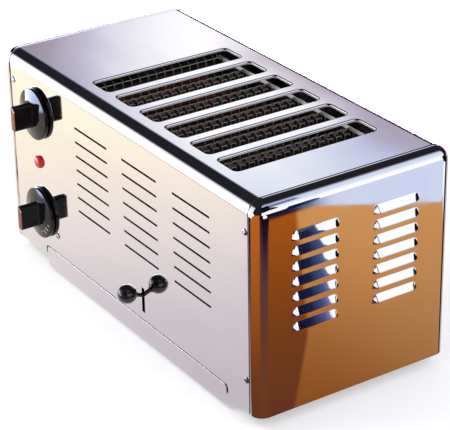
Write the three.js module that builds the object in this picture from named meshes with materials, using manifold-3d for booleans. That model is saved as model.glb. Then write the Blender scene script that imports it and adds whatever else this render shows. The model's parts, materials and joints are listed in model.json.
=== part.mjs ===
// Six slot catering toaster of polished stainless steel, in millimetres.
// X runs along the length, the controls are on the front at -Y, and +Z is up.
// The origin is on the table, under the middle of everything that the toaster reaches.

import * as THREE from 'three';
import { mergeVertices } from 'three/addons/utils/BufferGeometryUtils.js';
import Module from 'manifold-3d';

const wasm = await Module();
wasm.setup();

// Main sizes
const length = 460;
const depth = 212;
const height = 226;
const standHeight = 15;

// Sheet metal and fits
const coverSheet = 1.2;
const capSheet = 1;
const innerSheet = 1.2;
const touchGap = 0.3;
const overrun = 2;
const weldGap = 0.0001;

// Rounded edges of the casing
const edgeRadius = 13;
const seamGap = 0.4;
const lipDrop = 8;
const capRoll = 12;
const capStraight = 0.8;
const capProud = 0.8;
const capGroove = 2;
const capFlange = 14;
const rollSteps = 4;
const cornerSteps = 2;

// Air louvres in the end caps
const louvreColumns = 2;
const louvreRows = 7;
const louvreLength = 51;
const louvreHeight = 8.5;
const louvreReach = 3.4;
const louvreTopSpace = 33;
const louvreLow = 103;
const louvreInset = 60.5;
const louvreRearInset = 63;
const louvreLengthShares = [-1, -0.93, -0.76, 0.76, 0.93, 1];
const louvreSizeShares = [0, 0.6, 1, 1, 0.6, 0];

// Slits in the front and back panels
const slitColumns = 3;
const slitRows = 7;
const slitLength = 61.7;
const slitHeight = 2.3;
const slitColumnPitch = 89.3;
const slitTopSpace = 40;
const slitLow = 96;

// Bread slots and what lies under them
const slotCount = 6;
const slotPitch = 44.1;
const slotWidth = 32;
const slotRear = 31;
const slotRadius = 5;
const slotFront = 25;
const collarDepth = 4.2;
const chamberFromLeft = 264.5;
const chamberX = chamberFromLeft - length / 2;

// Element plates and shields
const frontPlateY = 20;
const rearPlateSpace = 33.7;
const plateFlange = 3.6;
const plateBottom = 29;
const plateTopSpace = 10;
const shieldSpace = 8;
const shieldTopSpace = 7;
const shieldEndSpace = 4;

// Heating elements
const boardSheet = 1;
const boardBottom = 78;
const boardTopSpace = 15;
const boardBand = 8;
const boardWaist = 6.5;
const ribbonWidth = 1.6;
const ribbonSheet = 0.5;
const ribbonLoops = 10;
const ribbonMargin = 3;
const loopYShares = [0, 1, 1, 1, 0, 0];
const loopXShares = [1, 1, 0, -1, -1, 0];
const loopBulgeShares = [0, 0, 1, 0, 0, -1];

// Wire guards beside the elements
const guardWire = 1.2;
const guardOffset = 5.3;
const guardTopSpace = 10.5;
const guardCells = 15;
const bridgeCount = 3;

// Bread rack and its lift
const rackLift = 31;
const rackBarWidth = 8;
const rackBarHeight = 3;
const rackBarBottom = 67;
const rackBarFront = 30;
const rackBarRearSpace = 47;
const crossBottom = 41;
const crossHeight = 3;
const crossWidth = 9;
const crossFrontY = 75;
const crossRearSpace = 67;
const postWidth = 4;
const postDepth = 6;
const tongueReach = 4;
const guideClearance = 1;
const heelWidth = 10;

// Lever, its pin and its bracket
const pivotY = 44;
const pivotZ = 38;
const ballDiameter = 19;
const ballSides = 14;
const ballRings = 9;
const ballOut = 17.4;
const ballZ = 61.4;
const armDiameter = 4.2;
const armWidth = 4;
const armDroop = 3.5;
const armTipOver = 3;
const hubDiameter = 9;
const hubWidth = 6;
const hubClearance = 0.6;
const pinDiameter = 3;
const pinHead = 1.5;
const pinHeadDiameter = 5.5;
const earWidth = 10;
const earSheet = 1.5;
const earTop = 5;
const bracketBottom = 29.5;
const leverSlotWidth = 5.2;
const leverSlotBottom = 36;
const leverSlotTop = 62.3;
const leverWindow = 56;
const leverWindowWidth = 10;

// Knobs, shafts, switches and lamp
const controlFromLeft = 66;
const controlX = controlFromLeft - length / 2;
const timerTopSpace = 52;
const selectorZ = 63.5;
const lampHeightShare = 0.516;
const knobDiameter = 54;
const knobGap = 1;
const knobRim = 2.6;
const knobEdge = 1;
const knobDome = 3;
const knobFaceDiameter = 30;
const knobReach = 27.2;
const bladeHeight = 26;
const bladeWidth = 8;
const bladeRadius = 2.6;
const knobSides = 20;
const shaftDiameter = 6;
const shaftInKnob = 5;
const shaftInUnit = 12;
const neckDiameter = 9;
const neckBore = 6.8;
const neckClearance = 0.4;
const timerWidth = 48;
const timerHeight = 50;
const timerDepth = 36;
const timerRadius = 5;
const selectorWidth = 40;
const selectorHeight = 44;
const selectorDepth = 30;
const tabWidth = 6;
const tabDepth = 8;
const tabSheet = 1;
const tabCount = 3;
const lensDiameter = 14;
const lensDome = 4.6;
const lensWidthShares = [1, 0.87, 0.5, 0];
const lensReachShares = [0.33, 0.67, 0.93, 1];
const lensStem = 9;
const lampDepth = 24;
const lampDiameter = 12;

// Bracket that carries the controls
const bracketSide = 26;
const bracketTopSpace = 0.5;

// Crumb tray
const trayPlateFromLeft = 72;
const trayPlateFromRight = 52;
const trayPlateBottom = 5;
const trayPlateTop = 27;
const trayPlateRadius = 4.5;
const traySheet = 1;
const trayWall = 26;
const trayRearSpace = 17;
const traySideGap = 2;
const trayEndGap = 2.3;
const trayTopGap = 0.5;

// Base pan and feet
const baseSheet = 1.2;
const baseWall = 40;
const panRadius = 15;
const footDiameter = 24;
const footTaper = 2;
const footEdge = 1.5;
const footInsetX = 45;
const footInsetY = 34;
const footSides = 14;

// Screws of the two panels
const screwInset = 19.5;
const screwTopSpace = 30.7;
const screwLowZ = 48;
const innerScrewFromLeft = 97;
const screwHeadDiameter = 6.6;
const screwHead = 2.1;
const screwShank = 3;
const screwLength = 6;
const screwHole = 3.6;
const screwSides = 10;

// Mains inlet at the back
const glandFromLeft = 84;
const glandZ = 46;
const glandDiameter = 18;
const glandReach = 10;
const glandNeck = 12;
const glandBore = 8;
const glandNut = 5;
const glandSides = 12;
const terminalWidth = 34;
const terminalDepth = 18;
const terminalHeight = 16;
const terminalRearSpace = 47;
const terminalWays = 3;
const terminalCut = 5;

const pinSides = 12;
const roundSides = 16;

// Places that follow from the sizes above
const louvreTop = height - louvreTopSpace;
const louvrePitch = (louvreTop - louvreLow) / (louvreRows - 1);
const louvreSpread = depth - louvreInset - louvreRearInset;
const slitTop = height - slitTopSpace;
const slitPitch = (slitTop - slitLow) / (slitRows - 1);
const slotLength = depth - slotRear - slotFront;
const rearPlateY = depth - rearPlateSpace;
const plateTop = height - plateTopSpace;
const shieldTop = height - shieldTopSpace;
const boardTop = height - boardTopSpace;
const guardTop = height - guardTopSpace;
const rackBarRear = depth - rackBarRearSpace;
const crossRearY = depth - crossRearSpace;
const timerZ = height - timerTopSpace;
const lampZ = selectorZ + lampHeightShare * (timerZ - selectorZ);
const trayPlateWidth = length - trayPlateFromLeft - trayPlateFromRight;
const trayRear = depth - trayRearSpace;
const screwHighZ = height - screwTopSpace;
const terminalY = depth - terminalRearSpace;
const leftEnd = -length / 2;
const rightEnd = length / 2;
const rimX = rightEnd - capRoll - capStraight;
const panelHalf = rimX - capGroove;
const rollBottom = height - edgeRadius;
const panelTop = rollBottom - seamGap;
const flangeInset = coverSheet + touchGap;
const flangeDepth = flangeInset + capSheet;
const flangeX = rimX - capFlange;
const depthShift = (knobReach - depth - glandReach) / 2;
const slotCentre = (i) => chamberX + (i - (slotCount - 1) / 2) * slotPitch;
const boardX = (i) => chamberX + (i - slotCount / 2) * slotPitch;
const shieldLeftX = boardX(0) - shieldSpace;
const shieldRightX = boardX(slotCount) + shieldSpace;
const chamberLeft = shieldLeftX + innerSheet / 2;
const chamberRight = shieldRightX - innerSheet / 2;
const frontPlateBack = frontPlateY + innerSheet;
const floorTop = standHeight + baseSheet;
const backFace = depth - coverSheet;
const controlBack = flangeInset + innerSheet;

// Colours and surfaces as photographed
const steelFinish = { color: 0xd9dbe0, roughness: 0.08, metalness: 1 };
const platedFinish = { color: 0xb9bcc0, roughness: 0.35, metalness: 1 };
const blackFinish = { color: 0x101012, roughness: 0.15, metalness: 0 };
const mattBlackFinish = { color: 0x1b1b1c, roughness: 0.6, metalness: 0 };
const micaFinish = { color: 0x8a7a5e, roughness: 0.7, metalness: 0 };
const heaterFinish = { color: 0x7a2a1c, roughness: 0.6, metalness: 0.6 };
const rubberFinish = { color: 0x161616, roughness: 0.85, metalness: 0 };
const lampFinish = { color: 0xd8301c, roughness: 0.2, metalness: 0 };
const creamFinish = { color: 0xd8d2c2, roughness: 0.5, metalness: 0 };

// Solids from three.js geometries

const xAxis = new THREE.Vector3(1, 0, 0);
const yAxis = new THREE.Vector3(0, 1, 0);
const zAxis = new THREE.Vector3(0, 0, 1);

// A closed solid from any closed geometry, with its faces turned outwards.
function solidOf(geometry) {
  const plain = geometry.clone();
  plain.deleteAttribute('normal');
  plain.deleteAttribute('uv');
  const merged = mergeVertices(plain, weldGap);
  const index = merged.index.array;
  const place = merged.attributes.position;
  const corners = [];
  for (let i = 0; i < index.length; i += 3) {
    const [a, b, c] = [index[i], index[i + 1], index[i + 2]];
    if (a !== b && b !== c && c !== a) corners.push(a, b, c);
  }
  let volume = 0;
  const [p, q, r] = [new THREE.Vector3(), new THREE.Vector3(), new THREE.Vector3()];
  for (let i = 0; i < corners.length; i += 3) {
    p.fromBufferAttribute(place, corners[i]);
    q.fromBufferAttribute(place, corners[i + 1]);
    r.fromBufferAttribute(place, corners[i + 2]);
    volume += p.dot(q.cross(r));
  }
  if (volume < 0) {
    for (let i = 0; i < corners.length; i += 3) {
      [corners[i], corners[i + 1]] = [corners[i + 1], corners[i]];
    }
  }
  return new wasm.Manifold(new wasm.Mesh({
    numProp: 3,
    vertProperties: new Float32Array(place.array),
    triVerts: Uint32Array.from(corners),
  }));
}

function geometryOf(solid) {
  const mesh = solid.getMesh();
  const geometry = new THREE.BufferGeometry();
  geometry.setAttribute('position', new THREE.BufferAttribute(new Float32Array(mesh.vertProperties), 3));
  geometry.setIndex(new THREE.BufferAttribute(new Uint32Array(mesh.triVerts), 1));
  geometry.computeVertexNormals();
  return geometry;
}

function block(x0, x1, y0, y1, z0, z1) {
  const geometry = new THREE.BoxGeometry(x1 - x0, y1 - y0, z1 - z0);
  geometry.translate((x0 + x1) / 2, (y0 + y1) / 2, (z0 + z1) / 2);
  return solidOf(geometry);
}

function extruded(shape, from, to, basis, direction, steps) {
  const geometry = new THREE.ExtrudeGeometry(shape, {
    depth: to - from,
    bevelEnabled: false,
    curveSegments: steps,
  });
  geometry.applyMatrix4(basis);
  geometry.translate(direction.x * from, direction.y * from, direction.z * from);
  return solidOf(geometry);
}

// A shape drawn in (y, z), carried along X.
function alongX(shape, from, to, steps = cornerSteps) {
  return extruded(shape, from, to, new THREE.Matrix4().makeBasis(yAxis, zAxis, xAxis), xAxis, steps);
}

// A shape drawn in (x, z), carried along Y.
function alongY(shape, from, to, steps = cornerSteps) {
  const back = yAxis.clone().negate();
  const basis = new THREE.Matrix4().makeBasis(xAxis, zAxis, back);
  return extruded(shape, -to, -from, basis, back, steps);
}

// A shape drawn in (x, y), carried along Z.
function alongZ(shape, from, to, steps = cornerSteps) {
  return extruded(shape, from, to, new THREE.Matrix4(), zAxis, steps);
}

function rectangle(u0, u1, v0, v1) {
  return new THREE.Shape([
    new THREE.Vector2(u0, v0),
    new THREE.Vector2(u1, v0),
    new THREE.Vector2(u1, v1),
    new THREE.Vector2(u0, v1),
  ]);
}

function roundedRectangle(u0, u1, v0, v1, radius) {
  const shape = new THREE.Shape();
  shape.absarc(u1 - radius, v0 + radius, radius, -Math.PI / 2, 0);
  shape.absarc(u1 - radius, v1 - radius, radius, 0, Math.PI / 2);
  shape.absarc(u0 + radius, v1 - radius, radius, Math.PI / 2, Math.PI);
  shape.absarc(u0 + radius, v0 + radius, radius, Math.PI, Math.PI * 1.5);
  return shape;
}

// A round bar along the axis named, through the point (u, v) of the other two axes.
function bar(axis, diameter, from, to, u, v, sides = roundSides) {
  const geometry = new THREE.CylinderGeometry(diameter / 2, diameter / 2, to - from, sides);
  const middle = (from + to) / 2;
  if (axis === 'x') {
    geometry.rotateZ(Math.PI / 2);
    geometry.translate(middle, u, v);
  } else if (axis === 'y') {
    geometry.translate(u, middle, v);
  } else {
    geometry.rotateX(Math.PI / 2);
    geometry.translate(u, v, middle);
  }
  return solidOf(geometry);
}

// A turned piece: its profile is a list of [radius, height], its axis runs up Z.
function turned(profile, sides) {
  const points = profile.map(([radius, at]) => new THREE.Vector2(radius, at));
  const geometry = new THREE.LatheGeometry(points, sides);
  geometry.rotateX(Math.PI / 2);
  return geometry;
}

// The same turned piece facing -Y, so that a height in the profile is a reach from the front.
function turnedFront(profile, sides, x, y, z) {
  const geometry = turned(profile, sides);
  geometry.rotateX(Math.PI / 2);
  geometry.translate(x, y, z);
  return solidOf(geometry);
}

// A turned piece facing +Y, for what stands on the back panel.
function turnedBack(profile, sides, x, y, z) {
  const geometry = turned(profile, sides);
  geometry.rotateX(-Math.PI / 2);
  geometry.translate(x, y, z);
  return solidOf(geometry);
}

function joined(solids) {
  return solids.reduce((all, next) => all.add(next));
}

function cut(solid, tools) {
  return tools.length ? solid.subtract(joined(tools)) : solid;
}

// The group that holds every piece

const toaster = new THREE.Group();
toaster.position.y = depthShift;

function piece(name, shape, finish, parent = toaster) {
  const geometry = shape.isBufferGeometry ? shape : geometryOf(shape);
  const mesh = new THREE.Mesh(geometry, new THREE.MeshStandardMaterial(finish));
  mesh.name = name;
  parent.add(mesh);
  return mesh;
}

// Casing

// Cross section of the casing in (y, z), standing out from the sheet by `out`, open below.
function casingOutline(out, bottom) {
  const radius = edgeRadius + out;
  const shape = new THREE.Shape();
  shape.moveTo(-out, bottom);
  shape.lineTo(depth + out, bottom);
  shape.absarc(depth - edgeRadius, rollBottom, radius, 0, Math.PI / 2);
  shape.absarc(edgeRadius, rollBottom, radius, Math.PI / 2, Math.PI);
  return shape;
}

// The casing's section with rolled edges towards +X, ending at the plane x1.
function rolledBlock(out, roll, x0, x1) {
  const low = standHeight - roll - overrun;
  const geometry = new THREE.ExtrudeGeometry(casingOutline(out, low), {
    depth: x1 - x0,
    bevelEnabled: true,
    bevelThickness: roll,
    bevelSize: roll,
    bevelOffset: -roll,
    bevelSegments: rollSteps,
    curveSegments: cornerSteps,
  });
  geometry.applyMatrix4(new THREE.Matrix4().makeBasis(yAxis, zAxis, xAxis));
  geometry.translate(x0 - roll, 0, 0);
  return solidOf(geometry);
}

// One louvre hood as stations along Y, each a triangle: root above, lip below and outward.
function louvreHood(y, top, reach, rise, x0, shift) {
  const triangle = 3;
  const corners = [];
  louvreLengthShares.forEach((along, k) => {
    const size = Math.max(louvreSizeShares[k], weldGap);
    const at = y + along * (louvreLength / 2 - shift);
    const low = top - louvreHeight;
    corners.push(x0, at, low, x0, at, low + size * rise, x0 + size * reach, at, low);
  });
  const faces = [0, 1, 2];
  const last = (louvreLengthShares.length - 1) * triangle;
  for (let k = 0; k < last; k += triangle) {
    for (let j = 0; j < triangle; j += 1) {
      const next = (j + 1) % triangle;
      faces.push(k + j, k + triangle + j, k + next);
      faces.push(k + next, k + triangle + j, k + triangle + next);
    }
  }
  faces.push(last, last + 2, last + 1);
  const geometry = new THREE.BufferGeometry();
  geometry.setAttribute('position', new THREE.Float32BufferAttribute(corners, 3));
  geometry.setIndex(faces);
  return solidOf(geometry);
}

function endCap() {
  const outside = rolledBlock(capProud, capRoll, rimX - overrun, rightEnd);
  const inside = rolledBlock(capProud - capSheet, capRoll - capSheet, rimX + capSheet, rightEnd - capSheet);
  const low = standHeight - overrun;
  const insideStart = rimX + capSheet;
  const inner = inside.subtract(block(leftEnd, insideStart, -depth, 2 * depth, -height, 2 * height));
  const rim = outside.subtract(block(leftEnd, rimX, -depth, 2 * depth, -height, 2 * height));
  const flange = alongX(casingOutline(-flangeInset, low), flangeX, insideStart);
  const mouth = alongX(
    casingOutline(-flangeDepth, low - overrun), flangeX - overrun, insideStart + overrun);
  let cap = rim.add(flange).subtract(inner).subtract(mouth);
  cap = cap.subtract(block(leftEnd, length, -depth, 2 * depth, -height, standHeight));
  const hoods = [];
  const voids = [];
  for (let column = 0; column < louvreColumns; column += 1) {
    for (let row = 0; row < louvreRows; row += 1) {
      const y = louvreInset + column * louvreSpread;
      const top = louvreTop - row * louvrePitch;
      hoods.push(louvreHood(y, top, louvreReach, louvreHeight, rightEnd - weldGap, 0));
      voids.push(louvreHood(y, top, louvreReach, louvreHeight, rightEnd - capSheet - touchGap, capSheet));
    }
  }
  cap = cut(cap.add(joined(hoods)), voids);
  const holes = [screwHighZ, screwLowZ].map((z) => (
    bar('y', screwHole, -overrun, depth + overrun, rightEnd - screwInset, z, screwSides)
  ));
  return cut(cap, holes);
}

function mirroredX(solid) {
  const geometry = geometryOf(solid);
  geometry.scale(-1, 1, 1);
  return solidOf(geometry);
}

function topCover() {
  const inner = edgeRadius - coverSheet;
  const profile = casingOutline(0, rollBottom);
  profile.lineTo(coverSheet, rollBottom);
  profile.absarc(edgeRadius, rollBottom, inner, Math.PI, Math.PI / 2, true);
  profile.absarc(depth - edgeRadius, rollBottom, inner, Math.PI / 2, 0, true);
  const shape = new THREE.Shape(profile.getPoints(cornerSteps).slice(1));
  const lipHalf = flangeX - touchGap;
  const lip = (front, side) => {
    const at = (inset) => front + side * inset;
    const outline = new THREE.Shape([
      new THREE.Vector2(at(coverSheet / 2), rollBottom),
      new THREE.Vector2(at(coverSheet / 2), rollBottom + coverSheet),
      new THREE.Vector2(at(flangeInset + coverSheet), rollBottom + coverSheet),
      new THREE.Vector2(at(flangeInset + coverSheet), rollBottom - lipDrop),
      new THREE.Vector2(at(flangeInset), rollBottom - lipDrop),
      new THREE.Vector2(at(flangeInset), rollBottom),
    ]);
    return alongX(outline, -lipHalf, lipHalf);
  };
  const collars = [];
  const mouths = [];
  for (let i = 0; i < slotCount; i += 1) {
    const [x0, x1] = [slotCentre(i) - slotWidth / 2, slotCentre(i) + slotWidth / 2];
    const [y0, y1] = [slotFront, slotFront + slotLength];
    const around = roundedRectangle(
      x0 - coverSheet, x1 + coverSheet, y0 - coverSheet, y1 + coverSheet, slotRadius + coverSheet);
    const mouth = roundedRectangle(x0, x1, y0, y1, slotRadius);
    collars.push(alongZ(around, height - collarDepth, height - coverSheet / 2));
    mouths.push(alongZ(mouth, height - collarDepth - overrun, height + overrun));
  }
  const sheet = alongX(shape, -panelHalf, panelHalf);
  return cut(joined([sheet, lip(0, 1), lip(depth, -1), ...collars]), mouths);
}

// The slits of one panel, cut right through it.
function slitTools(y0, y1) {
  const tools = [];
  for (let column = 0; column < slitColumns; column += 1) {
    const x = chamberX + (column - (slitColumns - 1) / 2) * slitColumnPitch;
    for (let row = 0; row < slitRows; row += 1) {
      const z = slitTop - row * slitPitch;
      tools.push(block(
        x - slitLength / 2, x + slitLength / 2, y0, y1, z - slitHeight / 2, z + slitHeight / 2));
    }
  }
  return tools;
}

const cornerScrews = [
  [leftEnd + screwInset, screwHighZ],
  [rightEnd - screwInset, screwHighZ],
  [rightEnd - screwInset, screwLowZ],
];
const frontScrews = [...cornerScrews, [leftEnd + innerScrewFromLeft, screwLowZ]];
const backScrews = [...cornerScrews, [leftEnd + screwInset, screwLowZ]];

function screwTools(places, y0, y1) {
  return places.map(([x, z]) => bar('y', screwHole, y0, y1, x, z, screwSides));
}

const controlHoles = (y0, y1) => [
  bar('y', neckDiameter + 2 * neckClearance, y0, y1, controlX, timerZ),
  bar('y', neckDiameter + 2 * neckClearance, y0, y1, controlX, selectorZ),
  bar('y', lensStem + 2 * neckClearance, y0, y1, controlX, lampZ),
];

function frontPanel() {
  const [y0, y1] = [-overrun, coverSheet + overrun];
  const sheet = block(-panelHalf, panelHalf, 0, coverSheet, standHeight, panelTop);
  const left = leftEnd + trayPlateFromLeft;
  const notch = roundedRectangle(
    left - trayEndGap, left + trayPlateWidth + trayEndGap,
    trayPlateBottom - trayPlateRadius, trayPlateTop + trayTopGap, trayPlateRadius);
  const leverSlot = block(
    chamberX - leverSlotWidth / 2, chamberX + leverSlotWidth / 2, y0, y1, leverSlotBottom, leverSlotTop);
  return cut(sheet, [
    ...slitTools(y0, y1),
    ...screwTools(frontScrews, y0, y1),
    ...controlHoles(y0, y1),
    alongY(notch, y0, y1),
    leverSlot,
  ]);
}

const glandX = leftEnd + glandFromLeft;

function backPanel() {
  const [y0, y1] = [backFace - overrun, depth + overrun];
  const sheet = block(-panelHalf, panelHalf, backFace, depth, standHeight, panelTop);
  return cut(sheet, [
    ...slitTools(y0, y1),
    ...screwTools(backScrews, y0, y1),
    bar('y', glandNeck + 2 * touchGap, y0, y1, glandX, glandZ, glandSides),
  ]);
}

function basePan() {
  const half = rightEnd - capSheet - touchGap;
  const [y0, y1] = [flangeDepth + touchGap, depth - flangeDepth - touchGap];
  const floor = roundedRectangle(-half, half, y0, y1, panRadius);
  return joined([
    alongZ(floor, standHeight, floorTop),
    block(-half, -half + baseSheet, y0 + panRadius, y1 - panRadius, standHeight, baseWall),
    block(half - baseSheet, half, y0 + panRadius, y1 - panRadius, standHeight, baseWall),
  ]);
}

function foot() {
  const radius = footDiameter / 2;
  return turned([
    [0, 0],
    [radius - footTaper - footEdge, 0],
    [radius - footTaper, footEdge],
    [radius, standHeight - footEdge],
    [radius, standHeight],
    [0, standHeight],
  ], footSides);
}

function crumbTray() {
  const left = leftEnd + trayPlateFromLeft;
  const plate = roundedRectangle(
    left, left + trayPlateWidth, trayPlateBottom, trayPlateTop, trayPlateRadius);
  const [x0, x1] = [chamberLeft + traySideGap, chamberRight - traySideGap];
  const bottom = floorTop + touchGap;
  const body = block(x0, x1, 0, trayRear, bottom, trayWall);
  const hollow = block(
    x0 + traySheet, x1 - traySheet, traySheet / 2, trayRear - traySheet,
    bottom + traySheet, trayWall + overrun);
  return alongY(plate, -traySheet / 2, traySheet / 2).add(body.subtract(hollow));
}

piece('top_cover', topCover(), steelFinish);
const capRight = endCap();
piece('end_cap_right', capRight, steelFinish);
piece('end_cap_left', mirroredX(capRight), steelFinish);
piece('front_panel', frontPanel(), steelFinish);
piece('back_panel', backPanel(), steelFinish);
piece('base_pan', basePan(), platedFinish);
piece('crumb_tray', crumbTray(), steelFinish);
const footPlaces = [
  ['front_left', leftEnd + footInsetX, footInsetY],
  ['front_right', rightEnd - footInsetX, footInsetY],
  ['rear_left', leftEnd + footInsetX, depth - footInsetY],
  ['rear_right', rightEnd - footInsetX, depth - footInsetY],
];
for (const [name, x, y] of footPlaces) {
  piece(`foot_${name}`, solidOf(foot()), rubberFinish).position.set(x, y, 0);
}

// Panel screws

function panelScrew(turn, x, face, z) {
  const radius = screwHeadDiameter / 2;
  const sunk = -screwLength;
  return turn([
    [0, sunk],
    [screwShank / 2, sunk],
    [screwShank / 2, 0],
    [radius, 0],
    [radius, screwHead / 2],
    [radius / 2, screwHead],
    [0, screwHead],
  ], screwSides, x, face, z);
}

frontScrews.forEach(([x, z], i) => {
  piece(`front_screw_${i + 1}`, panelScrew(turnedFront, x, 0, z), platedFinish);
});
backScrews.forEach(([x, z], i) => {
  piece(`back_screw_${i + 1}`, panelScrew(turnedBack, x, depth, z), platedFinish);
});

// Controls at the left end of the front

const bracketLeft = leftEnd + capRoll + capStraight + capFlange + touchGap;

function controlBracket() {
  const right = shieldLeftX - innerSheet / 2 - touchGap;
  const top = rollBottom - lipDrop - bracketTopSpace;
  const [y0, y1] = [flangeInset, controlBack];
  const plate = block(bracketLeft, right, y0, y1, plateBottom, top);
  const side = block(right - innerSheet, right, y0, bracketSide, plateBottom, top);
  return cut(plate.add(side), [
    ...controlHoles(-overrun, bracketSide / 2),
    bar('y', screwHole, -overrun, bracketSide / 2, leftEnd + innerScrewFromLeft, screwLowZ, screwSides),
  ]);
}

// A switch body behind the bracket, with a bored neck and a row of tabs at its back.
function switchUnit(width, tall, deep, z) {
  const front = controlBack + touchGap;
  const shape = roundedRectangle(
    controlX - width / 2, controlX + width / 2, z - tall / 2, z + tall / 2, timerRadius);
  const tabs = [];
  for (let i = 0; i < tabCount; i += 1) {
    const x = controlX + (i - (tabCount - 1) / 2) * (width / tabCount);
    tabs.push(block(
      x - tabSheet / 2, x + tabSheet / 2, front + deep - tabSheet, front + deep + tabDepth,
      z - tabWidth / 2, z + tabWidth / 2));
  }
  const neck = bar('y', neckDiameter, touchGap, front + tabSheet, controlX, z);
  return cut(joined([alongY(shape, front, front + deep), neck, ...tabs]), [
    bar('y', neckBore, -overrun, shaftInUnit + touchGap, controlX, z, pinSides),
  ]);
}

// Shaft and knob about the axis of one control, at rest with the blade upright.
function controlShaft() {
  return bar('y', shaftDiameter, -shaftInKnob, shaftInUnit, 0, 0, pinSides);
}

function knob() {
  const radius = knobDiameter / 2;
  const face = knobGap + knobRim;
  const skirt = turnedFront([
    [0, knobGap],
    [radius - knobEdge, knobGap],
    [radius, knobGap + knobEdge],
    [radius, face - knobEdge],
    [radius - knobEdge, face],
    [knobFaceDiameter / 2, face + knobDome],
    [0, face + knobDome],
  ], knobSides, 0, 0, 0);
  const grip = roundedRectangle(
    -bladeWidth / 2, bladeWidth / 2, -bladeHeight / 2, bladeHeight / 2, bladeRadius);
  const blade = alongY(grip, -knobReach, -face);
  const bore = bar(
    'y', shaftDiameter + 2 * touchGap, -shaftInKnob - touchGap, overrun, 0, 0, pinSides);
  return skirt.add(blade).subtract(bore);
}

function lampLens() {
  const radius = lensDiameter / 2;
  return turnedFront([
    [0, -controlBack],
    [lensStem / 2, -controlBack],
    [lensStem / 2, 0],
    [radius, 0],
    ...lensWidthShares.map((share, i) => [radius * share, lensDome * lensReachShares[i]]),
  ], roundSides, controlX, 0, lampZ);
}

piece('control_bracket', controlBracket(), platedFinish);
piece('timer_unit', switchUnit(timerWidth, timerHeight, timerDepth, timerZ), creamFinish);
piece('selector_switch', switchUnit(selectorWidth, selectorHeight, selectorDepth, selectorZ), creamFinish);
for (const [name, z] of [['timer', timerZ], ['selector', selectorZ]]) {
  const control = new THREE.Group();
  control.position.set(controlX, 0, z);
  toaster.add(control);
  piece(`${name}_shaft`, controlShaft(), platedFinish, control);
  piece(`${name}_knob`, knob(), blackFinish, control);
}
piece('lamp_lens', lampLens(), lampFinish);
const lampFront = controlBack + touchGap;
const lampTube = bar('y', lampDiameter, lampFront, lampFront + lampDepth, controlX, lampZ);
piece('lamp_body', lampTube, mattBlackFinish);

// Toasting chamber

function elementPlate(y) {
  return block(chamberLeft + touchGap, chamberRight - touchGap, y, y + innerSheet, plateBottom, plateTop);
}

// The rear plate has a flange turned back along its top edge.
function rearPlate() {
  const flange = block(
    chamberLeft + touchGap, chamberRight - touchGap, rearPlateY, rearPlateY + plateFlange,
    plateTop - innerSheet, plateTop);
  return elementPlate(rearPlateY).add(flange);
}

function frontPlate() {
  const window = block(
    chamberX - leverWindowWidth / 2, chamberX + leverWindowWidth / 2,
    frontPlateY - overrun, frontPlateBack + overrun, plateBottom - overrun, leverWindow);
  return elementPlate(frontPlateY).subtract(window);
}

function shield(x) {
  const sheet = block(
    x - innerSheet / 2, x + innerSheet / 2, shieldEndSpace, depth - shieldEndSpace,
    floorTop + touchGap, shieldTop);
  const guides = [crossFrontY, crossRearY].map((y) => block(
    x - overrun, x + overrun, y - crossWidth / 2 - guideClearance, y + crossWidth / 2 + guideClearance,
    crossBottom - guideClearance, crossBottom + crossHeight + rackLift + guideClearance));
  return cut(sheet, guides);
}

function elementBoard(x) {
  const [y0, y1] = [frontPlateBack + touchGap, rearPlateY - touchGap];
  const whole = block(x - boardSheet / 2, x + boardSheet / 2, y0, y1, boardBottom, boardTop);
  const [low, high] = [boardBottom + boardBand, boardTop - boardBand];
  return cut(whole, [
    block(x - overrun, x + overrun, y0 - overrun, y0 + boardWaist, low, high),
    block(x - overrun, x + overrun, y1 - boardWaist, y1 + overrun, low, high),
  ]);
}

// Height of the middle of the ribbon after so many loops, counted down from the top.
const windingTop = boardTop - boardBand - ribbonMargin;
const windingBottom = boardBottom + boardBand + ribbonMargin;
const windingPitch = (windingTop - windingBottom) / ribbonLoops;
const ribbonOut = boardSheet / 2 + touchGap + ribbonSheet / 2;

// One unbroken flat ribbon round the board: six points a loop, four corners a section.
function winding(x) {
  const y0 = frontPlateBack + boardWaist;
  const y1 = rearPlateY - boardWaist;
  const steps = loopYShares.length;
  const corners = [];
  const total = ribbonLoops * steps;
  for (let i = 0; i <= total; i += 1) {
    const k = i % steps;
    const centre = new THREE.Vector2(
      loopXShares[k] * ribbonOut,
      y0 + loopYShares[k] * (y1 - y0) + loopBulgeShares[k] * ribbonOut);
    const outward = new THREE.Vector2(loopXShares[k], loopBulgeShares[k] || (loopYShares[k] - 0.5));
    outward.normalize().multiplyScalar(ribbonSheet / 2);
    const z = windingTop - (i / steps) * windingPitch;
    for (const [side, rise] of [[1, 1], [-1, 1], [-1, -1], [1, -1]]) {
      corners.push(
        x + centre.x + side * outward.x, centre.y + side * outward.y, z + (rise * ribbonWidth) / 2);
    }
  }
  const sides = 4;
  const faces = [0, 1, 2, 0, 2, 3];
  for (let i = 0; i < total; i += 1) {
    for (let j = 0; j < sides; j += 1) {
      const [a, b] = [i * sides + j, i * sides + ((j + 1) % sides)];
      faces.push(a, a + sides, b, b, a + sides, b + sides);
    }
  }
  const end = total * sides;
  faces.push(end, end + 2, end + 1, end, end + 3, end + 2);
  const geometry = new THREE.BufferGeometry();
  geometry.setAttribute('position', new THREE.Float32BufferAttribute(corners, 3));
  geometry.setIndex(faces);
  return geometry;
}

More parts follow.
